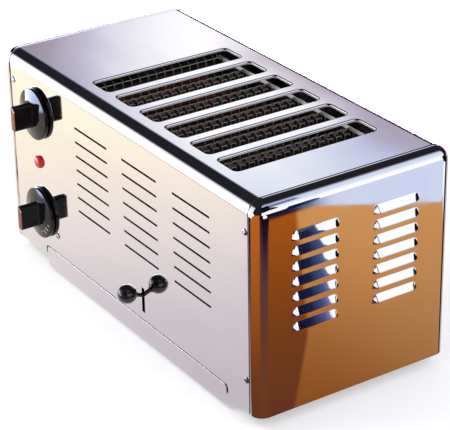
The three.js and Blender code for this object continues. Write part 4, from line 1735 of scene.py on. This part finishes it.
@dataclass
class PanelScrews:
    """Domed screws with a cross recess, at the corners of both panels."""

    head: float = 3.3
    rise: float = 2.1
    spread: float = 1.08
    sink: float = 0.35
    rim: float = 0.25
    arm_half: float = 0.42
    arm_reach: float = 1.7
    recess: float = 1.0
    recess_end: float = 2.4
    shank: float = 1.5
    shank_length: float = 6.0
    turns: tuple[float, float] = (0.5, 1.3)

    def _screw(self, turn: float) -> Array:
        """A dome over radius and angle, less a cross whose arms sink towards the middle.

        Args:
            turn: turn of the cross, in radians.

        Returns:
            The closed grid of head and shank, about +Z.
        """
        radius = np.array([0.0, 0.35, 0.7, 1.1, 1.5, 1.9, 2.3, 2.7, 3.0, 3.2, self.head])
        angle = np.linspace(0, 2 * np.pi, 48, endpoint=False)
        r, a = tensor(radius, angle)
        cap = np.sqrt(np.clip(1 - (r / (self.head * self.spread)) ** 2, 0, 1))
        dome = self.rise * cap - self.sink
        x, y = r * np.cos(a + turn), r * np.sin(a + turn)
        arm = (np.minimum(np.abs(x), np.abs(y)) < self.arm_half) & (r < self.arm_reach)
        dome = np.where(arm, dome - self.recess * (1 - r / self.recess_end), dome)
        top = np.stack([r * np.cos(a), r * np.sin(a), np.maximum(dome, self.rim)], -1)
        skirt = top[-1:] * [1, 1, 0]
        neck = skirt * [self.shank / self.head, self.shank / self.head, 1]
        tip = neck - [0, 0, self.shank_length]
        return np.concatenate([top, skirt, neck, tip, tip * [0, 0, 1]])

    def build(self, make: Maker) -> None:
        """Builds every screw over its node.

        Args:
            make: puts the pieces into the scene.
        """
        first, step = self.turns
        for number, name in enumerate(make.named("back_screw_") + make.named("front_screw_")):
            x, _, z = node_middle(name)
            front = name.startswith("front")
            place = (x, 0.0 if front else CASING.depth, z)
            grid = facing(self._screw(first + number * step), "-y" if front else "+y", place)
            head = Surface().grid(grid, around=True)
            piece = head.object(f"{name}_head", sharp=math.radians(30))
            make.add(piece, make.finishes.screw, Body.CHASSIS, Slot.PLATED, name)


@dataclass
class CrumbTray:
    """The pull-out tray: a front plate with rounded corners and edges, and its shallow box."""

    left: float = -158.0
    right: float = 178.0
    low: float = 5.0
    high: float = 27.0
    corner: float = 4.5
    half: float = 0.5
    edge: float = 0.45
    border: float = 4.2
    spine: float = 11.0
    box_half: float = 137.7
    box_floor: float = 16.5
    box_gap: float = 1.0
    wall: float = 1.0

    def _plate(self) -> Array:
        """The plate: its outline drawn in at both faces and round the edge, closed along a line.

        Returns:
            The closed grid.
        """
        ring = Ring((self.left, self.low), (self.right, self.high), self.corner, 12, 1, 2)
        base, normal = ring.outline()
        front, back = arc(self.edge, 180, 270, 3)[::-1], arc(self.edge, 180, 270, 3)
        flat = self.half - self.edge
        inset = np.concatenate([
            [self.border, self.half], self.edge + front[:, 0], self.edge + back[:, 0],
            [self.half, self.border],
        ])
        face = np.concatenate([
            [-self.half, -self.half], -flat + front[:, 1], flat - back[:, 1],
            [self.half, self.half],
        ])
        shell = upright(offsets(base, normal, -inset), face)
        spine = shell[:1].copy()
        spine[..., 2] = (self.low + self.high) / 2
        spine[..., 0] = np.clip(spine[..., 0], self.left + self.spine, self.right - self.spine)
        spine_back = spine.copy()
        spine_back[..., 1] = self.half
        return np.concatenate([spine, shell, spine_back])

    def _box(self) -> Array:
        """The box: its outline up the outside and down the inside, closed below.

        Returns:
            The closed grid.
        """
        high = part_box("crumb_tray")[1]
        wall, low = self.wall, self.box_floor
        left, right = CASING.slot_middle - self.box_half, CASING.slot_middle + self.box_half
        back = high.y / MILLIMETRE - FRONT_Y / MILLIMETRE
        top = high.z / MILLIMETRE - self.box_gap
        outer = rectangle(left, right, self.half, back)
        inner = rectangle(left + wall, right - wall, self.half, back - wall)
        plan = np.stack([outer, outer, inner, inner])
        return capped(raised(plan, np.array([low, top, top, low + wall])))

    def build(self, make: Maker) -> None:
        """Builds plate and box as one piece.

        Args:
            make: puts the piece into the scene.
        """
        surface = Surface().grid(self._plate(), around=True).grid(self._box(), around=True)
        piece = surface.object("tray_sheet")
        make.add(piece, make.finishes.panel, Body.TRAY, Slot.STEEL, "crumb_tray")


@dataclass
class Heaters:
    """Guards of round wire and ribbon wound on each heating board."""

    wire: float = 0.45
    wire_sides: int = 6
    offset: float = 5.6
    front: float = 21.5
    back: float = 178.0
    bottom: float = 78.0
    foot: float = 0.6
    ridge: float = 215.3
    eave: float = 212.6
    end_rise: float = 4.4
    bend: float = 1.2
    rail_zs: tuple[float, float] = (145.0, 190.0)
    wires: int = 17
    ribbon_top: float = 198.0
    ribbon_bottom: float = 88.0
    ribbon_front: float = 28.6
    ribbon_back: float = 170.8
    ribbon_half: tuple[float, float] = (0.2, 0.9)
    loops: int = 20

    def _wires(self, x: float, sign: int, ys: Array, top: float) -> Array:
        """Wires of one side: from the ridge down a slope to the eave, then upright to the bottom.

        Args:
            x: X of the board.
            sign: 1 for the side at its right, -1 for its left.
            ys: Y of the wires.
            top: height of the ridge.

        Returns:
            Wires by stations by sides by three.
        """
        out = x + sign * self.offset
        bend = arc(self.bend, 0, 70, 4)[::-1]
        turn_x = out - sign * (self.bend - bend[:, 0])
        turn_z = top - (self.ridge - self.eave) - self.bend + bend[:, 1]
        crest = top - self.wire
        px = np.concatenate([[x, x + sign * self.offset * 0.45], turn_x, [out, out]])
        pz = np.concatenate([[crest, crest - 0.7], turn_z, [150.0, self.bottom + self.foot]])
        paths = np.stack(np.broadcast_arrays(px, ys[:, None], pz), -1)
        return tubes(paths, self.wire, self.wire_sides, (0, 1, 0))

    def _staples(self, x: float, starts: Array, reach: float, z: float, radius: float) -> Array:
        """Short rails along the board, each with its two ends bent down, one for each start.

        Args:
            x: X of the rails.
            starts: Y of their front ends.
            reach: their length.
            z: their height.
            radius: radius of their wire.

        Returns:
            Rails by stations by sides by three.
        """
        along = np.array([0.0, 0.0, 0.35, reach / 2, reach - 0.35, reach, reach])
        drop = np.array([2.4, 0.5, 0.0, 0.0, 0.0, 0.5, 2.4])
        y = starts[:, None] + along[None]
        paths = np.stack([np.full_like(y, x), y, np.broadcast_to(z - drop, y.shape)], -1)
        return tubes(paths, radius, self.wire_sides, (1, 0, 0))

    def _rails(self, x: float) -> Array:
        """Long rails from the front end of a guard to its back end, at each height.

        Args:
            x: X of the rails.

        Returns:
            Rails by stations by sides by three.
        """
        ys = (self.front, (self.front + self.back) / 2, self.back)
        rails = [[[x, y, z] for y in ys] for z in (self.bottom + self.foot, *self.rail_zs)]
        return tubes(np.array(rails), self.wire, self.wire_sides, (1, 0, 0))

    def _guard(self, number: int) -> Surface:
        """One guard: wires over the board, staples on its ridge and eaves, rails lower down.

        Args:
            number: the board, counted from the left. The first and the last have one side.

        Returns:
            The guard's surface.
        """
        x = CASING.board_x(number)
        signs = [s for s, on in ((-1, number > 0), (1, number < CASING.slot_count)) if on]
        ys = np.linspace(self.front + self.wire, self.back - self.wire, self.wires)
        pitch = ys[1] - ys[0]
        surface = Surface()
        top = self.ridge if number else self.ridge + self.end_rise
        for sign in signs:
            out = x + sign * self.offset
            surface.grids(self._wires(x, sign, ys, top), around=True)
            eave = top - (self.ridge - self.eave)
            reach = pitch * (0.56 if number else 0.92)
            staples = self._staples(out, ys[:-1], reach, eave, self.wire * 1.1)
            surface.grids(staples, around=True).grids(self._rails(out), around=True)
        if len(signs) > 1:
            over = self._staples(x, ys[1:] - pitch * 0.56, pitch * 0.54, top, self.wire * 1.35)
            between = self._staples(x, ys[:-1] + pitch * 0.16, pitch * 0.14, top - 0.2, self.wire)
            surface.grids(over, around=True).grids(between, around=True)
        return surface

    def _ribbon(self, number: int) -> Surface:
        """One ribbon: a flattened helix, down the board as it goes round it.

        Going once round takes eight stations: four corners near the board's edges and the
        middles between them. The height falls evenly with the station number.

        Args:
            number: the board, counted from the left.

        Returns:
            The ribbon's surface.
        """
        side = np.array([1, 1, 1, 0.0, -1, -1, -1, 0.0])
        share = np.array([0.0, 0.5, 1.0, 1.0, 1.0, 0.5, 0.0, 0.0])
        bulge = np.array([0, 0, 0, 1.0, 0, 0, 0, -1.0])
        count = self.loops * len(side) + 1
        station = np.arange(count)
        k = station % len(side)
        fall = (self.ribbon_top - self.ribbon_bottom) * station / (count - 1)
        y = self.ribbon_front + (self.ribbon_back - self.ribbon_front) * share[k] + bulge[k]
        centre = np.stack([CASING.board_x(number) + side[k], y, self.ribbon_top - fall], -1)
        out = np.stack([side[k], bulge[k] + (share[k] - 0.5) * 0.2, np.zeros(count)], -1)
        out /= np.linalg.norm(out, axis=1, keepdims=True)
        thick, wide = self.ribbon_half
        up = np.array([0, 0, 1.0])
        corners = [(1, 1), (-1, 1), (-1, -1), (1, -1)]
        rows = [centre + thick * a * out + wide * b * up for a, b in corners]
        return Surface().grid(capped(np.stack(rows, 1)), around=True)

    def build(self, make: Maker) -> None:
        """Builds the seven guards and ribbons.

        Args:
            make: puts the pieces into the scene.
        """
        f = make.finishes
        for number in range(CASING.slot_count + 1):
            label = number + 1
            guard = self._guard(number).object(f"guard_wires_{label}", sharp=math.radians(70))
            make.add(guard, f.wire, Body.CHASSIS, Slot.PLATED, f"element_guard_{label}")
            ribbon = self._ribbon(number).object(f"ribbon_{label}", sharp=math.radians(30))
            make.add(ribbon, f.alloy, Body.CHASSIS, Slot.ALLOY, f"element_winding_{label}")


@dataclass
class Feet:
    """Round rubber feet with a waisted side and a hollow below."""

    radius: float = 12.0
    height: float = 15.0
    waist: tuple[float, float] = (1.6, 1.2)

    def build(self, make: Maker) -> None:
        """Builds the four feet by turning one profile.

        Args:
            make: puts the pieces into the scene.
        """
        low = arc(1.5, -90, 0, 4) + np.array([self.radius - 3.5, 1.5])
        below, above = self.waist
        side = [
            [self.radius - below, 6.0], [self.radius - above, 9.0], [self.radius, 10.2],
            [self.radius, self.height - 0.6], [self.radius - 0.6, self.height],
            [0.0, self.height],
        ]
        hollow = [[0.0, 1.6], [3.4, 1.6], [4.0, 0.3], [4.6, 0.0]]
        profile = np.concatenate([hollow, low, side])
        for name in make.named("foot_"):
            x, y, _ = node_middle(name)
            grid = facing(lathe(profile, 40), "+z", (x, y, 0.0))
            piece = Surface().grid(grid, around=True).object(f"{name}_pad")
            make.add(piece, make.finishes.rubber, Body.CHASSIS, Slot.RUBBER, name)


@dataclass
class CordInlet:
    """The gland at the back: a nut inside, a neck through the panel and a ribbed mouth."""

    x: float = -146.0
    z: float = 46.0
    mouth: float = 8.8
    narrows: float = 2.2
    length: float = 9.0
    rib: float = 0.25
    rib_pitch: float = 2.0

    def build(self, make: Maker) -> None:
        """Builds the gland by turning a profile whose mouth narrows by a power of its reach.

        Args:
            make: puts the piece into the scene.
        """
        inner = [
            [4.0, -6.2], [9.0, -6.2], [9.0, -1.2], [6.0, -1.2], [6.0, 0.0], [8.6, 0.0],
            [9.0, 0.4],
        ]
        reach = np.linspace(1.0, self.length, 25)
        cone = self.mouth - self.narrows * (reach / self.length) ** 1.6
        ribs = cone + self.rib * np.cos(reach * 2 * np.pi / self.rib_pitch)
        end = [[5.9, 10.0], [4.6, 10.0], [4.0, 9.4], [4.0, -6.2]]
        profile = np.concatenate([inner, np.stack([np.minimum(ribs, 9.0), reach], -1), end])
        grid = facing(lathe(profile, 40), "+y", (self.x, CASING.depth, self.z))
        piece = Surface().grid(grid, around=True).object("cord_inlet")
        make.add(piece, make.finishes.matt, Body.CHASSIS, Slot.MATT_BLACK, "cable_gland")


class KeptNodes:
    """Nodes of the frame that are shown as they are, each with its finish."""

    def build(self, make: Maker) -> None:
        """Dresses them, and makes sure that no node is left without a finish.

        Args:
            make: dresses the nodes.
        """
        f = make.finishes
        make.keep(f.panel, Slot.STEEL, "front_panel", "back_panel")
        make.keep(
            f.plated, Slot.PLATED, "base_pan", "control_bracket", "timer_shaft", "selector_shaft",
            "lever_pin", "lever_bracket", "bread_rack")
        # Inner plates and shields: heat tint darkened as painted shade
        make.keep(f.heat_tint_and_shade, Slot.PLATED, "element_plate_front", "shield_left", "shield_right")
        # The rear plate carries the painted highlight along its top edge
        make.keep(f.painted_lit_plate, Slot.PLATED, "element_plate_rear")
        make.keep(f.cream, Slot.CREAM, "timer_unit", "selector_switch", "terminal_block")
        make.keep(f.matt, Slot.MATT_BLACK, "lamp_body")
        make.keep(f.mica, Slot.MICA, *make.named("element_board"))
        left = sorted(set(make.nodes) - make.dressed)
        if left:
            raise ValueError(f"no finish for {left}")


# Studio


@dataclass
class Studio:
    """Floor, room light, reflecting cards, lamps and the camera.

    The floor and the room have a plain pale look of their own. What polished metal sees of
    them is painted in zones: x and y are metres on the floor, and each zone's edge is a
    straight line or a circle, crossed by a short smooth step.
    """

    lens: float = 150.54
    shift: tuple[float, float] = (0.01233, -0.01624)
    camera_place: tuple[float, float, float] = (1.39856, -0.89250, 0.92160)
    camera_turn: tuple[float, float, float, float] = (
        0.74957414, 0.46199410, 0.25678189, 0.39845089)
    card_x: float = 0.485
    floor_half: float = 6.0
    corner_x: float = 0.22

    @staticmethod
    def _card(
        name: str, points: Sequence[Any], faces: Sequence[Any], material: bpy.types.Material
    ) -> bpy.types.Object:
        """A flat piece of the studio.

        Args:
            name: its name.
            points: its corners.
            faces: its faces.
            material: what it is made of.

        Returns:
            The object, linked to the scene.
        """
        mesh = bpy.data.meshes.new(name)
        mesh.from_pydata(points, [], faces)
        mesh.materials.append(material)
        card = bpy.data.objects.new(name, mesh)
        link(card)
        return card

    def _from_corner(self, x: Value, y: Value) -> Value:
        """Square of the distance from the casing's right front corner, on the floor."""
        aside, ahead = x - self.corner_x, y - FRONT_Y
        return aside * aside + ahead * ahead

    @staticmethod
    def _front_floor(s: Shader, x: Value, y: Value) -> Value:
        """What metal sees of the floor at the front: pale paper, from cream at the left to lilac.

        A brighter table starts further out. A strong zone at the left lights the knobs' faces,
        and a band beside it is warm.

        Args:
            s: the floor's shader.
            x: X on the floor.
            y: Y on the floor.

        Returns:
            The colour.
        """
        pale = s.ramp((x * -1.0 - y * 0.8 + 0.05) / 0.80, [
            (0.0, linear(197, 186, 192)), (0.22, linear(208, 199, 204)),
            (0.5, linear(232, 221, 217)), (0.78, linear(253, 238, 218)),
            (1.0, linear(255, 249, 222)),
        ])
        lit = s.mix((y * -1.0).rise(0.345, 0.38), pale, (1.2, 1.17, 1.2))
        lit = s.mix((x * -1.0 - y * 0.6).rise(0.86, 1.12), lit, (8.5, 9.8, 14.5))
        warm = (-0.52 - x).rise(0.0, 0.04) * (y - x * 0.35 + 0.0265 > 0.0) * (y < -0.125)
        return s.mix(warm, lit, (1.0, 0.64, 0.44))

    @staticmethod
    def _boards(s: Shader, x: Value, y: Value) -> Value:
        """An orange board, with a brown one over it between two slanting edges.

        Args:
            s: the floor's shader.
            x: X on the floor.
            y: Y on the floor.

        Returns:
            The colour.
        """
        near = (x - 0.23) / 0.36
        orange = s.ramp(near, [
            (0.0, linear(132, 74, 30)), (0.3, linear(150, 86, 36)), (0.6, linear(178, 104, 38)),
            (0.9, linear(196, 124, 56)),
        ])
        brown = s.ramp(near, [
            (0.0, linear(96, 50, 34)), (0.4, linear(118, 62, 26)), (0.7, linear(143, 72, 20)),
            (0.95, linear(165, 82, 20)),
        ])
        first = ((y * -1.0) - 0.038 + (x - 0.258) * 0.874).rise(-0.003, 0.003)
        second = ((y * -1.0) + 0.045 + (x - 0.353) * 0.65).rise(-0.003, 0.003)
        orange = s.mix(y.rise(-0.05, 0.25) * 0.5, orange, linear(214, 166, 110))
        return s.mix(first * second, orange, brown)

    @staticmethod
    def _paper(s: Shader, x: Value, y: Value, board: Value) -> Value:
        """Pale paper beyond the boards, navy in its near part.

        Args:
            s: the floor's shader.
            x: X on the floor.
            y: Y on the floor.
            board: what lies before it.

        Returns:
            The colour.
        """
        beyond = y - x * 0.574 + 0.121
        paper = s.mix(beyond.rise(-0.02, 0.04), linear(16, 20, 44), linear(206, 214, 240))
        slanting = (x * 0.86 + y * 0.51 - 0.605).rise(-0.0025, 0.0025)
        straight = (x - 0.5775).rise(-0.0025, 0.0025)
        return s.mix(slanting + straight - slanting * straight, board, paper)

    def _front_boards(self, s: Shader, x: Value, y: Value, board: Value) -> Value:
        """The dark gap in front of the boards, and a plank that turns about the casing's corner.

        Args:
            s: the floor's shader.
            x: X on the floor.
            y: Y on the floor.
            board: what lies behind them.

        Returns:
            The colour.
        """
        gap = s.ramp((x - 0.23) / 0.42, [
            (0.0, linear(112, 60, 36)), (0.35, linear(100, 56, 42)), (0.62, linear(92, 56, 56)),
            (0.8, linear(66, 38, 48)), (0.9, linear(32, 20, 30)), (1.0, (0.004, 0.003, 0.005)),
        ])
        inner = (y * -1.0 - 0.059 + (x - 0.269) * 0.686).rise(-0.01, 0.10)
        plank = s.ramp(self._from_corner(x, y).root() * 2.0, [
            (0.1, linear(100, 54, 30)), (0.25, linear(120, 63, 28)), (0.6, linear(168, 90, 28)),
            (0.9, linear(188, 100, 30)),
        ])
        outer = (y * -1.0 - 0.126 - (x - 0.262) * 0.928).rise(-0.03, 0.05)
        return s.mix(outer, s.mix(inner, board, gap), plank)

    def _side_floor(self, s: Shader, x: Value, y: Value) -> Value:
        """What metal sees of the floor at the right: boards, paper, and white and black far off.

        Args:
            s: the floor's shader.
            x: X on the floor.
            y: Y on the floor.

        Returns:
            The colour.
        """
        board = self._paper(s, x, y, self._boards(s, x, y))
        board = self._front_boards(s, x, y, board)
        far = (x - 0.70).rise(0.0, 0.01) * (y < 0.1) * (y + x * 0.3 > 0.0)
        board = s.mix(far, board, (1.0, 0.98, 0.97))
        farther = (x - 0.85).rise(0.0, 0.9) * (y - 0.25).rise(0.0, 0.4)
        board = s.mix(farther, board, (1.08, 1.09, 1.13))
        behind = y - x + 0.10 > 0.0
        board = s.mix(behind * (y - 0.36).rise(0.0, 0.08), board, (1.0, 1.0, 1.02))
        dark = (y - 0.112 - (x - 0.23) * 2.1).rise(0.0, 0.01) + behind * (y > 0.58)
        return s.mix(dark.rise(0.0, 1.0), board, (0.005, 0.005, 0.008))

    def floor(self) -> None:
        """A pale floor; polished metal sees a lit studio table with coloured boards on it."""
        material, s = new_material("studio_floor")
        x, y, _ = s.place()
        behind = y - FRONT_Y
        right = (x - 0.230 - behind * (behind < 0.0) * 1.488).rise(-0.010, 0.006)
        close = 1.0 - self._from_corner(x, y).rise(0.19, 0.225)
        right = right * ((x > 0.04) + close).rise(0.0, 1.0)
        seen = s.mix(right, self._front_floor(s, x, y), self._side_floor(s, x, y))
        ground = s.node("ShaderNodeBsdfDiffuse", {}, {"Color": (0.86, 0.86, 0.87)})
        white = s.glow((1.0, 1.0, 1.0), 0.32)
        open_floor = s.node("ShaderNodeAddShader", {}, {0: ground, 1: white})
        shown = s.node(
            "ShaderNodeMixShader", {}, {0: s.ray("Is Camera Ray"), 1: ground, 2: open_floor})
        s.end(s.node(
            "ShaderNodeMixShader", {}, {0: s.ray("Is Glossy Ray"), 1: shown, 2: s.glow(seen, 1.1)}))
        half = self.floor_half
        corners = [(-half, -half, 0), (half, -half, 0), (half, half, 0), (-half, half, 0)]
        self._card("studio_floor", corners, [(0, 1, 2, 3)], material)

    def cards(self) -> None:
        """Two dark upright cards at the right with slanting edges, which only metal sees."""
        low = [(186, 60), (234, 60), (230, 150), (226, 195), (218, 219), (186, 219)]
        high = [
            (-200, 290), (180, 290), (204, 420), (244, 420), (280, 515), (330, 620), (-200, 620),
        ]
        corners = np.array(low + high, float) * MILLIMETRE
        across = np.full(len(corners), self.card_x)
        points = np.stack([across, corners[:, 0] + FRONT_Y, corners[:, 1]], -1)
        faces = [tuple(range(len(low))), tuple(range(len(low), len(corners)))]
        material, s = new_material("studio_card")
        _, y, _ = s.place()
        tone = s.ramp((y - 0.09) / 0.05, [
            (0.0, linear(12, 16, 34)), (0.4, linear(26, 34, 68)), (0.7, linear(70, 82, 130)),
            (0.9, linear(120, 128, 176)),
        ])
        s.end(s.glow(tone, 1.0))
        card = self._card("studio_cards", points.tolist(), faces, material)
        card.visible_camera = False
        card.visible_diffuse = False
        card.visible_shadow = False
        card.visible_transmission = False

    @staticmethod
    def _sheet(s: Shader, u: Value, v: Value) -> Value:
        """What the top cover sees over its front left: a pale sheet, violet along its rear.

        Args:
            s: the room's shader.
            u: where a direction meets the level sheet, to the right.
            v: the same, to the back.

        Returns:
            The colour.
        """
        along = (u + 2.32) / 0.64
        across = (v - 1.15) / 0.29
        sheet = s.ramp(across * 0.9 + along * 1.2, [
            (0.06, linear(160, 147, 160)), (0.2, linear(176, 164, 180)),
            (0.3, linear(194, 185, 205)), (0.4, linear(204, 200, 224)),
            (0.5, linear(230, 229, 242)), (0.62, linear(246, 242, 252)),
            (0.78, (1.03, 1.01, 1.04)), (1.0, (1.14, 1.12, 1.13)),
        ])
        edge = (1.0 - across.rise(0.0, 0.2)) * along.rise(0.0, 0.3)
        sheet = s.mix(edge * 0.35, sheet, linear(170, 172, 206))
        right = s.ramp(across, [
            (0.0, linear(228, 234, 252)), (0.3, linear(242, 245, 255)),
            (0.45, linear(224, 231, 250)), (0.62, linear(204, 212, 240)),
            (0.75, linear(196, 196, 228)), (0.83, linear(176, 170, 212)),
            (0.92, linear(150, 140, 176)),
        ])
        sheet = s.mix(along.rise(0.74, 0.86), sheet, right)
        rear = across.rise(0.79, 0.89) * along.rise(0.15, 0.38)
        return s.mix(rear, sheet, linear(180, 167, 184))

    def _panels(self, s: Shader, x: Value, y: Value, z: Value) -> Value:
        """What metal sees of the room: a dark ceiling with pale panels.

        A direction is told by where it meets a level sheet one unit up, u to the right and v
        to the back, and by its compass turn in degrees from the right.

        Args:
            s: the room's shader.
            x: the direction's part to the right.
            y: its part to the back.
            z: its part upwards.

        Returns:
            The colour.
        """
        turn = y.angle(x) * (180 / math.pi)
        up = z.at_least(0.01)
        u, v = x / up, y / up
        front = (1.0 - v.rise(-1.6, -0.9)) * (u < v * 0.18)
        seen = s.mix(front, (0.016, 0.014, 0.020), linear(246, 248, 255))
        patch = (turn + 140.0).size().rise(18.0, 26.0)
        patch = (1.0 - patch) * (1.0 - z.rise(0.16, 0.28))
        seen = s.mix(patch, seen, (3.0, 3.2, 3.6))
        pale = (1.0 - u.rise(-1.6, -1.1)) * v.rise(0.62, 1.13)
        seen = s.mix(pale, seen, self._sheet(s, u, v))
        rear = v.rise(1.5, 2.0) * (turn < 147.0) * (turn > 100.0)
        seen = s.mix(rear, seen, linear(62, 34, 62))
        east = u.rise(0.2, 0.7) * (v + u * 0.53 > 0.0) * (v - u * 1.9 < 0.5)
        bright = s.mix(z.rise(0.10, 0.6), (1.12, 1.14, 1.2), linear(220, 228, 250))
        seen = s.mix(east, seen, bright)
        night = (turn - 42.0).rise(0.0, 3.0) * (1.0 - z.rise(0.16, 0.26)) * (turn < 124.0)
        return s.mix(night, seen, (0.004, 0.004, 0.007))

    def room(self) -> None:
        """Room light: even and pale, but metal sees panels."""
        world = bpy.data.worlds.new("studio_room")
        bpy.context.scene.world = world
        world.use_nodes = True
        s = Shader(world.node_tree)
        x, y, z = s.parts(s.node("ShaderNodeTexCoord", output="Generated"))
        plain = s.mix(s.ray("Is Camera Ray"), (0.62, 0.63, 0.65), (1.0, 1.0, 1.0))
        colour = s.mix(s.ray("Is Glossy Ray"), plain, self._panels(s, x, y, z))
        light = s.node("ShaderNodeBackground", {}, {"Color": colour, "Strength": 1.0})
        s.end(light, "ShaderNodeOutputWorld")

    def lamp(
        self, name: str, place: Sequence[float], size: float, power: float, colour: Colour
    ) -> None:
        """One soft square lamp that faces the toaster and isn't mirrored in it.

        Args:
            name: the lamp's name.
            place: where it hangs, in metres.
            size: its side.
            power: its power in watts.
            colour: its colour.
        """
        data = bpy.data.lights.new(name, "AREA")
        data.shape = "SQUARE"
        data.size = size
        data.energy = power
        data.color = colour
        made = bpy.data.objects.new(name, data)
        made.location = place
        aim = Vector((0.0, 0.0, 0.1)) - Vector(place)
        made.rotation_mode = "QUATERNION"
        made.rotation_quaternion = aim.to_track_quat("-Z", "Y")
        made.visible_glossy = False
        link(made)

    def camera(self) -> None:
        """The camera at the photograph's place."""
        data = bpy.data.cameras.new("studio_camera")
        data.sensor_width = 36.0
        data.lens = self.lens
        data.shift_x, data.shift_y = self.shift
        data.clip_end = 50.0
        made = bpy.data.objects.new("studio_camera", data)
        made.rotation_mode = "QUATERNION"
        made.location = self.camera_place
        made.rotation_quaternion = Quaternion(self.camera_turn)
        link(made)
        bpy.context.scene.camera = made

    def build(self) -> None:
        """Builds the whole studio."""
        self.floor()
        self.cards()
        self.room()
        self.lamp("key_lamp", (-0.9, -1.3, 1.7), 1.2, 22.0, (1.0, 0.98, 0.95))
        self.lamp("fill_lamp", (1.6, 0.4, 1.5), 1.4, 14.0, (0.96, 0.97, 1.0))
        self.camera()
        bpy.context.scene.view_settings.view_transform = "Standard"


def main(frame: dict[str, Any]) -> None:
    """Builds every sub-assembly in order.
    """
    make = Maker(frame, Finishes())
    f = make.finishes
    TopCover().build(make)
    cap = EndCap()
    cap.build(make, "end_sheet_right", "end_cap_right", mirrored=False)
    cap.build(make, "end_sheet_left", "end_cap_left", mirrored=True)
    # Painted shade: a matt black strip where the right seam lies in shade
    SeamStrip().build(make, "seam_shade_strip_right", 1, f.matt, Slot.MATT_BLACK)
    sunk = SeamStrip(outer=216.75, lap=215.4, level=1.4)
    sunk.build(make, "seam_strip_left", -1, f.plated, Slot.PLATED)
    knob = Knob()
    knob.build(make, "timer_knob", Body.TIMER, CASING.timer_z, f.timer)
    knob.build(make, "selector_knob", Body.SELECTOR, CASING.selector_z, f.selector)
    for assembly in (
        SignalLamp(), Lever(), PanelScrews(), CrumbTray(), Heaters(), Feet(), CordInlet(),
        KeptNodes(),
    ):
        assembly.build(make)
    Studio().build()


if __name__ == "__main__":
    logging.basicConfig(level=logging.INFO, format="%(message)s", stream=sys.stdout)
    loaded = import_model()
    # Y of the front panel's face in the frame, in metres
    FRONT_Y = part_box("front_panel")[0].y
    main(loaded)
